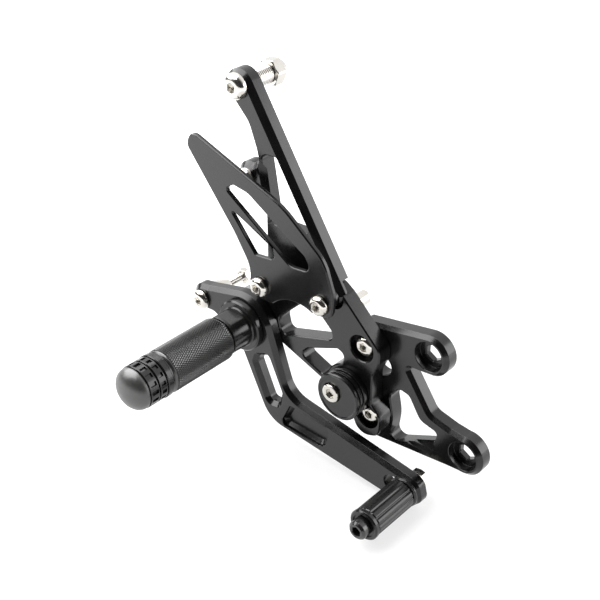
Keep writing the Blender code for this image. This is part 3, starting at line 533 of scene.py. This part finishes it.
def make_arm():
    """Upper arm with a broad chamfer; its lower half laps over the carrier plate."""
    piece = plate("upper_arm", arm_outline(), CARRIER_FRONT, CARRIER_BACK, ARM_CHAMFER)
    window = [(-128.0, 101.8, 5.0), (-115.2, 102.9, 2.5), (-85.9, 57.0, 4.0),
              (-119.9, 55.5, 4.0)]
    leg_edge = [(-125.8, 90.5, 0.0), (-119.9, 59.0, 0.0), (-116.0, 60.0, 0.0),
                (-121.0, 88.0, 0.0)]
    carve(piece, flared(window, CARRIER_FRONT, CARRIER_BACK, EDGE_BREAK))
    carve(piece, flared(leg_edge, CARRIER_FRONT, CARRIER_BACK, LEG_CHAMFER))
    for axis, shank in ((ARM_TOP, M10), (ARM_LOWER, M8), (GUARD_LEFT, M8), (GUARD_RIGHT, M8)):
        hole = circle(axis, shank + CLEARANCE)
        carve(piece, cutter(hole, CARRIER_FRONT - 1.0, CARRIER_BACK + 1.0))
    below_lap = [(-150.0, 17.6, 0.0), (-150.0, -20.0, 0.0), (-45.0, -20.0, 0.0),
                 (-45.0, 35.1, 0.0)]
    return carve(piece, cutter(below_lap, CARRIER_MIDDLE - CLEARANCE / 2, CARRIER_BACK + 1.0))


def make_carrier():
    """Carrier plate with two windows, recessed bolts and the lap for the arm."""
    hub_r, boss_r, recess_r, recess_depth = 21.0, 18.5, 9.4, 6.3
    corners = ([(-66.0, 29.5, 4.0), (-58.6, 24.6, 2.0), (-28.0, -4.5, 9.0),
                (-28.6, -13.5, 6.0), (-33.5, -24.0, 10.0), (-33.5, -46.5, 7.0),
                (-25.2, -55.5, 8.0), (-26.2, -70.5, 9.0), (-43.0, -77.0, 10.0)]
               + arc(STOP_CENTRE, boss_r, 280, 192) + [(-79.0, -45.5, 5.0), (-116.0, -32.5, 8.0)]
               + arc(PEG_AXIS, hub_r, 320, 110) + [(-131.0, 1.5, 8.0)]
               + arc(GUARD_LEFT, 8.0, 190, 95))
    upper = [(-111.5, -27.0, 4.5), (-66.0, -11.5, 4.5), (-68.5, -5.0, 4.0),
             (-78.5, 4.0, 3.0), (-95.0, 4.0, 5.0), (-114.5, -15.0, 5.0)]
    lower = ([(-93.5, -33.5, 3.0), (-90.5, -37.0, 2.0), (-75.0, -43.0, 3.0)]
             + arc(STOP_CENTRE, boss_r + 0.5, 160, 108)
             + [(-57.0, -18.5, 4.0), (-63.0, -16.8, 2.0), (-88.0, -27.8, 2.0)])
    bolt_hole = opening(circle(CARRIER_UPPER, M8 + CLEARANCE))
    openings = [opening(upper, EDGE_BREAK), opening(lower, EDGE_BREAK),
                opening(circle(CARRIER_UPPER, recess_r), 0.6, recess_depth, [bolt_hole]),
                opening(circle(STOP_SCREW, M8 + CLEARANCE)),
                opening(circle(PEG_AXIS, M10 + CLEARANCE))]
    openings += [opening(circle(axis, M8 + CLEARANCE))
                 for axis in (CARRIER_LOWER, GUARD_LEFT, GUARD_RIGHT)]
    piece = plate("carrier_plate", corners, CARRIER_FRONT, CARRIER_BACK, EDGE_BREAK, openings)
    carve(piece, cutter(circle(CARRIER_LOWER, recess_r), CARRIER_FRONT - 1.0,
                        CARRIER_FRONT + recess_depth))
    carve(piece, cutter(circle(POST_AXIS, M6 + CLEARANCE), levels("rear_post")[0] - CLEARANCE,
                        CARRIER_BACK + 1.0))
    lap = [(x, z, 0.0) for x, z in outline(arm_outline(), 0.4)]
    return carve(piece, cutter(lap, CARRIER_FRONT - 1.0, CARRIER_MIDDLE + CLEARANCE / 2))


def make_guard():
    """Heel guard with two slots."""
    corners = [(-183.0, 96.6, 7.0), (-177.5, 107.2, 7.0), (-99.0, 79.6, 60.0),
               (-64.5, 53.5, 26.0), (-56.0, 30.0, 16.0), (-58.0, 12.5, 8.0),
               (-75.5, 12.5, 7.0), (-92.0, 19.5, 30.0), (-108.5, 4.2, 6.0),
               (-128.2, 4.2, 9.0), (-128.0, 26.0, 20.0), (-141.5, 46.5, 40.0)]
    upper = [(-148.5, 75.6, 2.5), (-92.5, 39.2, 9.0), (-74.0, 41.5, 4.5), (-80.0, 51.0, 5.0),
             (-128.0, 78.8, 14.0), (-141.0, 80.6, 4.0)]
    lower = [(-145.2, 63.0, 1.2), (-122.5, 36.2, 2.0), (-105.5, 38.6, 3.5),
             (-107.0, 47.6, 5.0)]
    openings = [opening(upper, 0.5), opening(lower, 0.5)]
    openings += [opening(circle(axis, M8 + CLEARANCE)) for axis in (GUARD_LEFT, GUARD_RIGHT)]
    return plate("heel_guard", corners, GUARD_FRONT, GUARD_BACK, EDGE_BREAK, openings)


def make_pedal():
    """Brake pedal: bored hub, sloping slot, pocket, and a slot for the toe peg."""
    hub_r = 23.4
    corners = ([(-187.6, -31.4, 9.2), (-187.6, -12.9, 9.2), (-173.0, -10.2, 14.0)]
               + arc(PEG_AXIS, hub_r, 104, 48)
               + [(-115.5, -17.0, 10.0), (-98.0, -67.7, 18.0), (12.6, -83.0, 9.0),
                  (16.2, -97.0, 7.0), (6.0, -107.6, 6.0), (-117.2, -98.4, 24.0)]
               + arc(PEG_AXIS, hub_r, 262, 200) + [(-168.0, -30.2, 5.0)])
    slope = 3.0
    rim = [(-128.0, -44.8, 5.0), (-115.5, -39.8, 5.0), (-102.0, -68.5, 9.0),
           (-104.5, -82.0, 6.0), (-117.5, -84.0, 7.0), (-131.0, -53.5, 5.0)]
    slot = [(x, z, 0.0) for x, z in outline(rim, -slope)]
    pocket = [(-96.0, -74.8, 3.2), (-103.5, -91.0, 3.2), (-101.0, -95.0, 3.2),
              (-64.0, -95.6, 8.0), (-60.4, -77.0, 3.2)]
    toe_slot = straight_slot((TOE_AXIS[0] - 11.0, TOE_AXIS[1]), TOE_AXIS, 6.3)
    openings = [opening(slot, slope), opening(toe_slot, 0.15),
                opening(circle(PEG_AXIS, radius_of("pivot_bush") + CLEARANCE), 0.5),
                opening(circle(ROD_AXIS, M6 + CLEARANCE)),
                opening(pocket, 0.4, 5.0, (), 2.5)]
    return plate("pedal_arm", corners, LEVER_FRONT, LEVER_BACK, 3.0, openings)


# ---------------------------------------------------------------- fasteners

# Shank radius, head height, socket across flats and thread pitch.
BUTTON_BOLTS = {
    "guard_bolt_left": (M8, 4.4, 5.0, 1.25), "guard_bolt_right": (M8, 4.4, 5.0, 1.25),
    "arm_bolt_lower": (M8, 4.4, 5.0, 1.25), "arm_bolt_top": (M10, 5.6, 6.0, 1.5),
    "carrier_bolt_upper": (M8, 4.6, 5.0, 1.25), "carrier_bolt_lower": (M8, 4.6, 5.0, 1.25),
    "rod_bolt": (M6, 4.2, 4.0, 1.0),
}
# Across flats and the radius of the bolt inside.
NUTS = {"arm_nut_lower": (13.0, M8), "toe_nut": (13.0, M8), "rod_nut": (10.0, M6)}
DOME_NUT_SPIN = 8.0     # degrees
SOCKET_CORNER = 0.15    # radius in the corners of a hexagonal socket
THREAD_END = 0.36       # what a thread's tapered end takes up, in pitches


def button_bolt(name):
    """Domed head with a socket, and a shank threaded over its last two thirds."""
    shank, height, socket, pitch = BUTTON_BOLTS[name]
    front, back = levels(name)
    head = radius_of(name)
    flat = socket * 0.72
    dome = []
    steps = 9
    for i in range(steps + 1):
        swing = math.pi / 2 * i / steps
        dome.append((flat + (head - flat) * math.sin(swing),
                     front + (height * 0.84) * (1 - math.cos(swing))))
    seat = front + height
    start = seat + (back - seat) * 0.35
    path = [(flat - 0.1, front)] + dome[1:] + [(head - 0.05, seat), (shank, seat),
                                              (shank, start)]
    hexagon = opening(polygon(axis_of(name), socket, corner=SOCKET_CORNER), 0.3, height * 0.62)
    thread = (shank, pitch, start, back - THREAD_END * pitch)
    return turned(name, axis_of(name), path, [hexagon], thread=thread)


def cap_bolt(name, shank, height, socket, pitch, chamfer):
    """Cylindrical head with a socket, and a shank threaded near its end."""
    front, back = levels(name)
    head, seat = radius_of(name), front + height
    start = seat + (back - seat) * 0.7
    path = [(head - chamfer - 0.6, front), (head - chamfer, front), (head, front + chamfer),
            (head, seat), (shank, seat), (shank, start)]
    hexagon = opening(polygon(axis_of(name), socket, corner=SOCKET_CORNER), 0.4, height * 0.5)
    return turned(name, axis_of(name), path, [hexagon],
                  thread=(shank, pitch, start, back - THREAD_END * pitch))


def hex_reach(across, spin, front, back):
    """Radius of a hexagon whose ends are chamfered by a cone, at a level and an angle."""
    flat, slope = across / 2, 1.7

    def reach(level):
        cone = flat * 0.97 + slope * min(level - front, back - level)

        def radius(angle):
            turn = (math.degrees(angle) - spin) % 60.0 - 30.0
            return min(flat / math.cos(math.radians(turn)), cone)
        return radius
    return reach


HEX_DEPTHS = (0.0, 0.15, 0.35, 0.6, 0.9, 1.3)


def hex_rings(shell, axis, across, spin, front, back):
    """Loops of a hexagon, closer together near its ends."""
    reach = hex_reach(across, spin, front, back)
    rows = [front + d for d in HEX_DEPTHS] + [back - d for d in reversed(HEX_DEPTHS)]
    return [shell.loop(ring_points(axis, reach(level)), level) for level in rows]


def hex_nut(name):
    """Hexagonal nut with chamfered ends and a chamfered bore."""
    across, bore = NUTS[name]
    front, back = levels(name)
    axis, hole = axis_of(name), bore + CLEARANCE
    shell = Shell()
    outer = hex_rings(shell, axis, across, 0.0, front, back)
    inner = [shell.loop(ring_points(axis, radius), level)
             for radius, level in ((hole + 0.7, back), (hole, back - 0.7),
                                   (hole, front + 0.7), (hole + 0.7, front))]
    shell.wall(outer + inner + outer[:1])
    return shell.finish(name)


def make_dome_nut():
    """Top nut: a hexagon closed by a dome."""
    front, back = levels("arm_nut_top")
    axis, hole, dome_r, dome_height = ARM_TOP, M10 + CLEARANCE, 7.0, 6.0
    seam = back - dome_height
    shell = Shell()
    loops = hex_rings(shell, axis, 16.5, DOME_NUT_SPIN, front, seam)
    path = [(dome_r + 0.3, seam), (dome_r, seam + 0.3), (dome_r, seam + 0.9)]
    steps = 9
    for i in range(1, steps):
        swing = math.pi / 2 * i / steps
        path.append((dome_r * math.cos(swing),
                     seam + 0.9 + (dome_height - 0.9) * math.sin(swing)))
    loops += [shell.loop(ring_points(axis, radius), level) for radius, level in path]
    bore = [shell.loop(ring_points(axis, radius), level)
            for radius, level in ((hole + 0.7, front), (hole, front + 0.7), (hole, seam))]
    shell.wall(loops)
    shell.wall([loops[0]] + bore)
    shell.cap([loops[-1]])
    shell.cap([bore[-1]])
    return shell.finish("arm_nut_top")


def washer(name, bore, edge=0.4):
    """A plain ring with broken edges, from its node's box."""
    front, back = levels(name)
    radius = radius_of(name)
    path = [(bore, front), (radius - edge, front), (radius, front + edge),
            (radius, back - edge), (radius - edge, back), (bore, back)]
    return turned(name, axis_of(name), path, closed=True)


def make_fasteners():
    made = [button_bolt(name) for name in BUTTON_BOLTS]
    made += [hex_nut(name) for name in NUTS]
    made.append(make_dome_nut())
    made.append(cap_bolt("stop_screw", M8, 4.4, 6.0, 1.25, 0.5))
    made.append(cap_bolt("toe_bolt", M8, 8.0, 6.0, 1.25, 1.5))
    made += [washer(name, M8 + CLEARANCE)
             for name in ("guard_spacer_left", "guard_spacer_right", "toe_nut_washer")]
    made.append(washer("pivot_bush", 10.8, 0.5))
    return made


def make_peg_bolt():
    """Screw that holds the foot peg from behind."""
    front, back = levels("peg_bolt")
    axis, head = axis_of("peg_bolt"), radius_of("peg_bolt")
    seat, chamfer = back - 8.0, 0.9
    path = [(M10 - 0.8, front), (M10, front + 0.8), (M10, seat), (head, seat),
            (head, back - chamfer), (head - chamfer, back), (head - chamfer - 0.6, back)]
    piece = turned("peg_bolt", axis, path)
    return carve(piece, cutter(polygon(axis, 8.0), back - 4.0, back + 1.0))


def make_rear_post():
    """Bright screw in the back of the carrier plate."""
    front, back = levels("rear_post")
    axis, head = axis_of("rear_post"), radius_of("rear_post")
    seat = back - 14.0
    path = [(M6 - 0.6, front), (M6, front + 0.6), (M6, seat), (head, seat),
            (head, back - 0.7), (head - 0.7, back), (head - 1.1, back)]
    piece = turned("rear_post", axis, path)
    return carve(piece, cutter(polygon(axis, 5.0), back - 4.0, back + 1.0))


def make_rod_spacer():
    """Cone spacer behind the pedal, for the brake rod."""
    front, back = levels("rod_spacer")
    radius, bore = radius_of("rod_spacer"), M6 + CLEARANCE
    path = [(bore, front), (radius - 0.4, front), (radius, front + 0.4), (radius, front + 6.0),
            (bore + 0.8, back - 1.0), (bore + 0.5, back), (bore, back)]
    return turned("rod_spacer", axis_of("rod_spacer"), path, closed=True)


def make_arm_spacer():
    """Sleeve with fine grooves turned round it."""
    front, back = levels("arm_spacer_top")
    radius, bore, pitch = radius_of("arm_spacer_top"), M10 + CLEARANCE, 1.5
    path = [(bore, front), (radius - 0.3, front), (radius, front + 0.3)]
    level = front + 1.5
    while level < back - 1.5:
        path += [(radius, level), (radius - 0.35, level + 0.35), (radius, level + 0.7)]
        level += pitch
    path += [(radius, back - 0.3), (radius - 0.3, back), (bore, back)]
    return turned("arm_spacer_top", axis_of("arm_spacer_top"), path, closed=True)


# ---------------------------------------------------------------- foot peg

def make_peg_base():
    """Flange, neck with two wrench flats, and the core that carries the barrel."""
    front, back = levels("peg_base")
    face = LEVER_FRONT - CLEARANCE
    barrel_back = levels("peg_barrel")[1]
    flange_r, flange_t, neck_r, core_r, spigot_r = radius_of("peg_base"), 4.7, 14.0, 6.0, 10.5
    half_flats, collar, fillet = 12.0, 3.0, 2.0
    neck_end = barrel_back + CLEARANCE

    def flat_ring(angle):
        """A circle cut off above and below by the wrench flats."""
        return min(neck_r, half_flats / max(abs(math.sin(angle)), 0.01))
    shell = Shell()
    core = [(core_r - 0.8, front), (core_r, front + 0.8), (core_r, neck_end),
            (neck_r - 1.6, neck_end), (neck_r - 1.6, neck_end + 0.9), (neck_r, neck_end + 0.9),
            (neck_r, neck_end + collar)]
    flats = [(flat_ring, neck_end + collar), (flat_ring, face - flange_t - fillet)]
    rest = [(neck_r, face - flange_t - fillet), (neck_r, face - flange_t - 0.8),
            (neck_r + 0.8, face - flange_t), (flange_r - 1.0, face - flange_t),
            (flange_r, face - flange_t + 1.0), (flange_r, face), (spigot_r, face),
            (spigot_r, back), (spigot_r - 2.0, back)]
    rings = eased(core) + flats + eased(rest)
    loops = [shell.loop(ring_points(PEG_AXIS, radius), level) for radius, level in rings]
    shell.wall(loops)
    shell.cap([loops[0]])
    mouth = shell.loop(ring_points(PEG_AXIS, M10 + CLEARANCE), back)
    floor = shell.loop(ring_points(PEG_AXIS, M10 + CLEARANCE), face - 12.0)
    shell.cap([loops[-1], mouth])
    shell.wall([mouth, floor])
    shell.cap([floor])
    return shell.finish("peg_base")


def make_peg_barrel():
    """Barrel with a 30-degree knurl of pointed diamonds."""
    front, back = levels("peg_barrel")
    radius, bore = radius_of("peg_barrel"), 6.3
    length_pitch, diamonds, depth = 3.0, 58, 0.62
    samples = diamonds * 4
    step = length_pitch / 4
    band, root = 1.6, radius - depth
    rows = int((back - front - 2 * band) / step)
    start = (front + back - rows * step) / 2
    shell = Shell()

    def knurl(row):
        """Height falls linearly from each diamond's middle to the grooves round it."""
        def reach(angle):
            column = round(angle / (2 * math.pi) * samples)
            rising, falling = (column + row) % 4, (column - row) % 4
            return root + depth * min(2 - abs(rising - 2), 2 - abs(falling - 2)) / 2
        return reach
    head = eased([(bore, front), (root - 1.2, front), (root - 0.1, front + 1.1),
                  (root, start - 0.02)])
    tail = eased([(root, back - 1.6 + 0.02), (root - 0.1, back - 1.1), (root - 1.2, back),
                  (bore, back)])
    first = [shell.loop(ring_points(PEG_AXIS, r, samples), y) for r, y in head]
    grid = [shell.loop(ring_points(PEG_AXIS, knurl(row), samples), start + row * step)
            for row in range(rows + 1)]
    last = [shell.loop(ring_points(PEG_AXIS, r, samples), y) for r, y in tail]
    shell.wall(first + grid[:1])
    for row in range(rows):
        low, high = grid[row], grid[row + 1]
        for i in range(samples):
            j = (i + 1) % samples
            if (i - row) % 4 == 0 or (i - row) % 4 == 2 and (i + row + 1) % 4 != 0:
                shell.bm.faces.new((low[i], low[j], high[j]))
                shell.bm.faces.new((low[i], high[j], high[i]))
            else:
                shell.bm.faces.new((low[i], low[j], high[i]))
                shell.bm.faces.new((low[j], high[j], high[i]))
    shell.wall(grid[-1:] + last + first[:1])
    return shell.finish("peg_barrel")


DOME_SEAM = 21.9        # from the end cap's back face to the foot of its dome


def make_end_cap():
    """Domed cap with a plain collar and two rings of staggered rectangular notches."""
    front, back = levels("peg_end_cap")
    notches, depth, per_side = 16, 1.3, 4
    sectors = []
    for sector in range(2 * notches):
        for k in range(per_side + 1):
            sectors.append((math.pi / notches * (sector + k / per_side), sector % 2))

    def ring(radius, level, cut=None):
        points = []
        for angle, side in sectors:
            reach = radius - (depth if cut is not None and side == cut else 0.0)
            points.append((PEG_AXIS[0] + reach * math.cos(angle),
                           PEG_AXIS[1] + reach * math.sin(angle)))
        return shell.loop(points, level)
    shell = Shell()
    groove, band_r, collar_r = 13.0, 15.0, radius_of("peg_end_cap")
    bands = ((back - 20.6, back - 13.6), (back - 12.6, back - 6.8))
    dome_r, seam, steps = 14.6, back - DOME_SEAM, 16
    loops = []
    for i in range(1, steps + 1):
        swing = math.pi / 2 * i / steps
        loops.append(ring(dome_r * math.sin(swing), seam - (seam - front) * math.cos(swing)))
    loops += [ring(dome_r, seam + 0.5), ring(groove, seam + 0.7)]
    for cut, (start, end) in enumerate(bands):
        loops += [ring(groove, start - 0.2), ring(band_r - 0.3, start),
                  ring(band_r, start + 0.3), ring(band_r, start + 1.0),
                  ring(band_r, start + 1.0, cut), ring(band_r, end - 1.0, cut),
                  ring(band_r, end - 1.0), ring(band_r, end - 0.3), ring(band_r - 0.3, end),
                  ring(groove, end + 0.2)]
    loops += [ring(groove, back - 6.3), ring(collar_r - 0.5, back - 6.1),
              ring(collar_r, back - 5.6), ring(collar_r, back - 2.2),
              ring(collar_r - 0.6, back - 1.6), ring(14.0, back - 1.6), ring(14.0, back)]
    shell.wall(loops)
    bore = 6.3
    mouth, floor = ring(bore, back), ring(bore, back - 19.5)
    shell.cap([loops[0]])
    shell.wall([loops[-1], mouth, floor])
    shell.cap([floor])
    return shell.finish("peg_end_cap")


# ---------------------------------------------------------------- toe peg and stop

def make_toe_sleeve():
    """Sleeve with twelve flutes along it."""
    front, back = levels("toe_sleeve")
    radius, bore, flutes, depth = radius_of("toe_sleeve"), M8 + CLEARANCE, 12, 0.75
    half_width = 0.8 / radius
    angles = []
    for flute in range(flutes):
        middle = 2 * math.pi * (flute + 0.5) / flutes
        pitch = 2 * math.pi / flutes
        angles += [(middle - half_width * 1.5, 0.0), (middle - half_width, 0.25),
                   (middle - half_width * 0.55, 0.85), (middle, 1.0),
                   (middle + half_width * 0.55, 0.85), (middle + half_width, 0.25),
                   (middle + half_width * 1.5, 0.0)]
        land = pitch - 3 * half_width
        angles += [(middle + half_width * 1.5 + land * k / 6, 0.0) for k in range(1, 6)]

    def ring(reach, level, cut):
        return shell.loop([(TOE_AXIS[0] + (reach - depth * cut * share) * math.cos(angle),
                            TOE_AXIS[1] + (reach - depth * cut * share) * math.sin(angle))
                           for angle, share in angles], level)
    shell = Shell()
    rows = [(bore, front, 0.0), (radius - 1.4, front, 0.0), (radius - 0.8, front + 0.1, 0.3),
            (radius - 0.2, front + 0.7, 1.0), (radius, front + 1.3, 1.0),
            (radius, back - 1.3, 1.0), (radius - 0.2, back - 0.7, 1.0),
            (radius - 0.8, back - 0.1, 0.3), (radius - 1.4, back, 0.0), (bore, back, 0.0)]
    loops = [ring(*row) for row in rows]
    shell.wall(loops + loops[:1])
    return shell.finish("toe_sleeve")


def make_toe_rings():
    """Washer behind the sleeve, and the collar in front of it that holds the bolt's head."""
    front, back = levels("toe_washer")
    bore, radius = M8 + CLEARANCE, radius_of("toe_washer")
    washer_path = [(bore, front), (radius - 0.9, front), (radius - 0.4, front + 0.5),
                   (radius - 0.4, front + 0.9), (radius, front + 1.2), (radius, back - 0.4),
                   (radius - 0.4, back), (bore, back)]
    made = [turned("toe_washer", TOE_AXIS, washer_path, closed=True)]
    front, back = levels("toe_collar")
    radius, seat_r = radius_of("toe_collar"), 8.2
    collar_path = [(bore, front + 1.2), (seat_r, front + 1.2), (seat_r, front),
                   (radius - 0.9, front), (radius, front + 0.9), (radius, back), (bore, back)]
    made.append(turned("toe_collar", TOE_AXIS, collar_path, closed=True))
    return made


def make_stop():
    """Eccentric disc with a rim and a groove, and the spacer behind it."""
    front, back = levels("stop_disc")
    radius = radius_of("stop_disc")
    wall = [(14.2 - radius, front + 0.5), (14.6 - radius, front + 0.5), (15.2 - radius, front),
            (16.3 - radius, front), (0.0, front + 0.8), (0.0, front + 2.2),
            (-1.5, front + 2.9), (-1.5, front + 3.5), (-0.2, front + 4.1), (-0.2, back),
            (-1.2, back)]
    screw_hole = opening(circle(STOP_SCREW, M8 + CLEARANCE))
    head = radius_of("stop_screw") + 0.5
    seat = opening(circle(STOP_SCREW, head), 0.3, 2.4, [screw_hole])
    disc = plate("stop_disc", circle(STOP_CENTRE, radius), front, back, 0.0, [seat], wall)
    front, back = levels("stop_spacer")
    radius = radius_of("stop_spacer")
    wall = [(-3.0, front), (14.6 - radius, front), (-1.4, front + 0.8), (-1.4, front + 1.6),
            (0.0, front + 2.2), (0.0, back), (-1.0, back)]
    spacer = plate("stop_spacer", circle(STOP_CENTRE, radius), front, back, 0.0, [screw_hole],
                   wall)
    return [disc, spacer]


# ---------------------------------------------------------------- finishing

SHARP_ANGLE = 38.0      # degrees, above which an edge is shaded sharp
NORMAL_WEIGHT = 60      # how far large faces pull the normals of small ones


def finish_pieces(pieces, materials):
    """Gives each piece its body, its node, its finish and clean shading."""
    seam = levels("peg_end_cap")[1] - DOME_SEAM
    finish_of = {"peg_barrel": "knurled_anodised"}
    for piece in pieces:
        source = piece.name.split(".")[0]
        slot = SLOT_OF[source]
        piece.name = source + "_machined"
        piece.data.name = piece.name
        piece.data.materials.clear()
        piece.data.materials.append(materials[finish_of.get(source, slot)])
        if source == "peg_end_cap":
            piece.data.materials.append(materials["cap_anodised"])
            for face in piece.data.polygons:
                face.material_index = int(face.center.y < seam * MM)
        piece.data.shade_smooth()
        piece.data.set_sharp_from_angle(angle=math.radians(SHARP_ANGLE))
        if source != "peg_barrel":
            weighted = piece.modifiers.new("normals", "WEIGHTED_NORMAL")
            weighted.keep_sharp = True
            weighted.weight = NORMAL_WEIGHT
        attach(piece, BODY_OF[source])
        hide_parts(source)


# ---------------------------------------------------------------- stage, light and camera

# These lengths are in metres, as Blender has them.
WORLD_DARK, WORLD_BRIGHT = 0.04, 1.3    # strengths in front of and behind the object
BACKDROP = 0.97                         # strength of the background itself
# The floor's emission is painted light that lifts its shadows; it is weaker near the object, a
# painted shade round it.
FLOOR_GLOW, FLOOR_GLOW_FAR = 0.70, 1.35
GLOW_START, GLOW_END = 0.24, 0.56       # distances over which the floor's glow grows
FLOOR_SIZE, FLOOR_GAP = 12.0, 0.0005
LIT_CENTRE = (-0.07, -0.03, 0.0)
LEFT_BOX = {"direction": (-0.60, -0.15, 0.78), "distance": 1.1, "size": (1.46, 1.46),
            "radiance": 6.2}
RIGHT_BOX = {"direction": (0.74, 0.63, 0.26), "distance": 1.2, "size": (1.0, 0.7),
             "radiance": 3.2}
LENS, SENSOR = 67.8, 36.0               # millimetres
CAMERA_PLACE = (0.3175, -0.4882, 0.4050)
CAMERA_FORWARD = (-0.5585, 0.6310, -0.5384)


def make_stage(floor_level):
    """Pale floor with painted light: it glows a little, and more so away from the object, which
    leaves a painted shade round the object.
    """
    material = bpy.data.materials.new("pale_floor")
    material.use_nodes = True
    tree = material.node_tree
    shader = tree.nodes["Principled BSDF"]
    noise = stretched_noise(tree, 6.0, (1.0, 1.0, 1.0))
    mix = node(tree, "Mix", data_type="RGBA")
    mix.inputs["A"].default_value = (0.27, 0.27, 0.27, 1.0)
    mix.inputs["B"].default_value = (0.29, 0.29, 0.29, 1.0)
    tree.links.new(noise.outputs["Fac"], mix.inputs["Factor"])
    tree.links.new(mix.outputs["Result"], shader.inputs["Base Color"])
    shader.inputs["Roughness"].default_value = 0.55
    shader.inputs["Emission Color"].default_value = (1.0, 1.0, 1.0, 1.0)
    place = node(tree, "TexCoord")
    away = node(tree, "VectorMath", operation="LENGTH")
    tree.links.new(place.outputs["Object"], away.inputs[0])
    # Painted light and shade: the floor's emission grows with the distance from the object.
    glow = node(tree, "MapRange", interpolation_type="SMOOTHSTEP")
    glow.inputs["From Min"].default_value = GLOW_START
    glow.inputs["From Max"].default_value = GLOW_END
    glow.inputs["To Min"].default_value = FLOOR_GLOW
    glow.inputs["To Max"].default_value = FLOOR_GLOW_FAR
    tree.links.new(away.outputs["Value"], glow.inputs["Value"])
    tree.links.new(glow.outputs["Result"], shader.inputs["Emission Strength"])
    bpy.ops.mesh.primitive_plane_add(size=FLOOR_SIZE, location=(0.0, 0.0, floor_level))
    floor = bpy.context.object
    floor.name = "floor"
    floor.data.materials.append(material)


def make_world():
    """A studio with bright walls behind the object and a dark room on the camera's side."""
    world = bpy.data.worlds.new("studio")
    bpy.context.scene.world = world
    world.use_nodes = True
    tree = world.node_tree
    background = tree.nodes["Background"]
    place = node(tree, "TexCoord")
    facing = node(tree, "VectorMath", operation="DOT_PRODUCT")
    facing.inputs[1].default_value = Vector((-0.15, 0.97, 0.15)).normalized()
    tree.links.new(place.outputs["Generated"], facing.inputs[0])
    glow = node(tree, "MapRange", interpolation_type="SMOOTHSTEP")
    glow.inputs["From Min"].default_value = -0.2
    glow.inputs["From Max"].default_value = 0.5
    glow.inputs["To Min"].default_value = WORLD_DARK
    glow.inputs["To Max"].default_value = WORLD_BRIGHT
    tree.links.new(facing.outputs["Value"], glow.inputs["Value"])
    rays = node(tree, "LightPath")
    mix = node(tree, "Mix", data_type="FLOAT")
    tree.links.new(rays.outputs["Is Camera Ray"], mix.inputs["Factor"])
    tree.links.new(glow.outputs["Result"], mix.inputs["A"])
    mix.inputs["B"].default_value = BACKDROP
    tree.links.new(mix.outputs["Result"], background.inputs["Strength"])
    background.inputs["Color"].default_value = (1.0, 1.0, 1.0, 1.0)


def softbox(name, direction, distance, size, radiance):
    """A rectangular softbox that faces the object, with its brightness given as radiance."""
    data = bpy.data.lights.new(name, "AREA")
    data.shape = "RECTANGLE"
    data.size, data.size_y = size
    data.energy = radiance * math.pi * size[0] * size[1]
    lamp = bpy.data.objects.new(name, data)
    centre = Vector(LIT_CENTRE)
    outward = Vector(direction).normalized()
    lamp.location = centre + outward * distance
    lamp.rotation_euler = (-outward).to_track_quat("-Z", "Y").to_euler()
    bpy.context.scene.collection.objects.link(lamp)


def make_camera():
    """Camera at the rider's side, high and to the right."""
    data = bpy.data.cameras.new("camera")
    data.lens = LENS
    data.sensor_width = SENSOR
    camera = bpy.data.objects.new("camera", data)
    camera.location = CAMERA_PLACE
    camera.rotation_euler = Vector(CAMERA_FORWARD).to_track_quat("-Z", "Y").to_euler()
    bpy.context.scene.collection.objects.link(camera)
    bpy.context.scene.camera = camera


def main():
    materials = make_materials()
    pieces = [make_bracket(), make_carrier(), make_arm(), make_guard(), make_pedal(),
              make_peg_base(), make_peg_barrel(), make_end_cap(), make_peg_bolt(),
              make_rear_post(), make_rod_spacer(), make_arm_spacer(), make_toe_sleeve()]
    pieces += make_fasteners() + make_toe_rings() + make_stop()
    finish_pieces(pieces, materials)
    make_stage(cad_bounds[0][2] - FLOOR_GAP)
    make_world()
    softbox("left_box", **LEFT_BOX)
    softbox("right_box", **RIGHT_BOX)
    make_camera()
    bpy.context.scene.view_settings.view_transform = "Standard"


main()
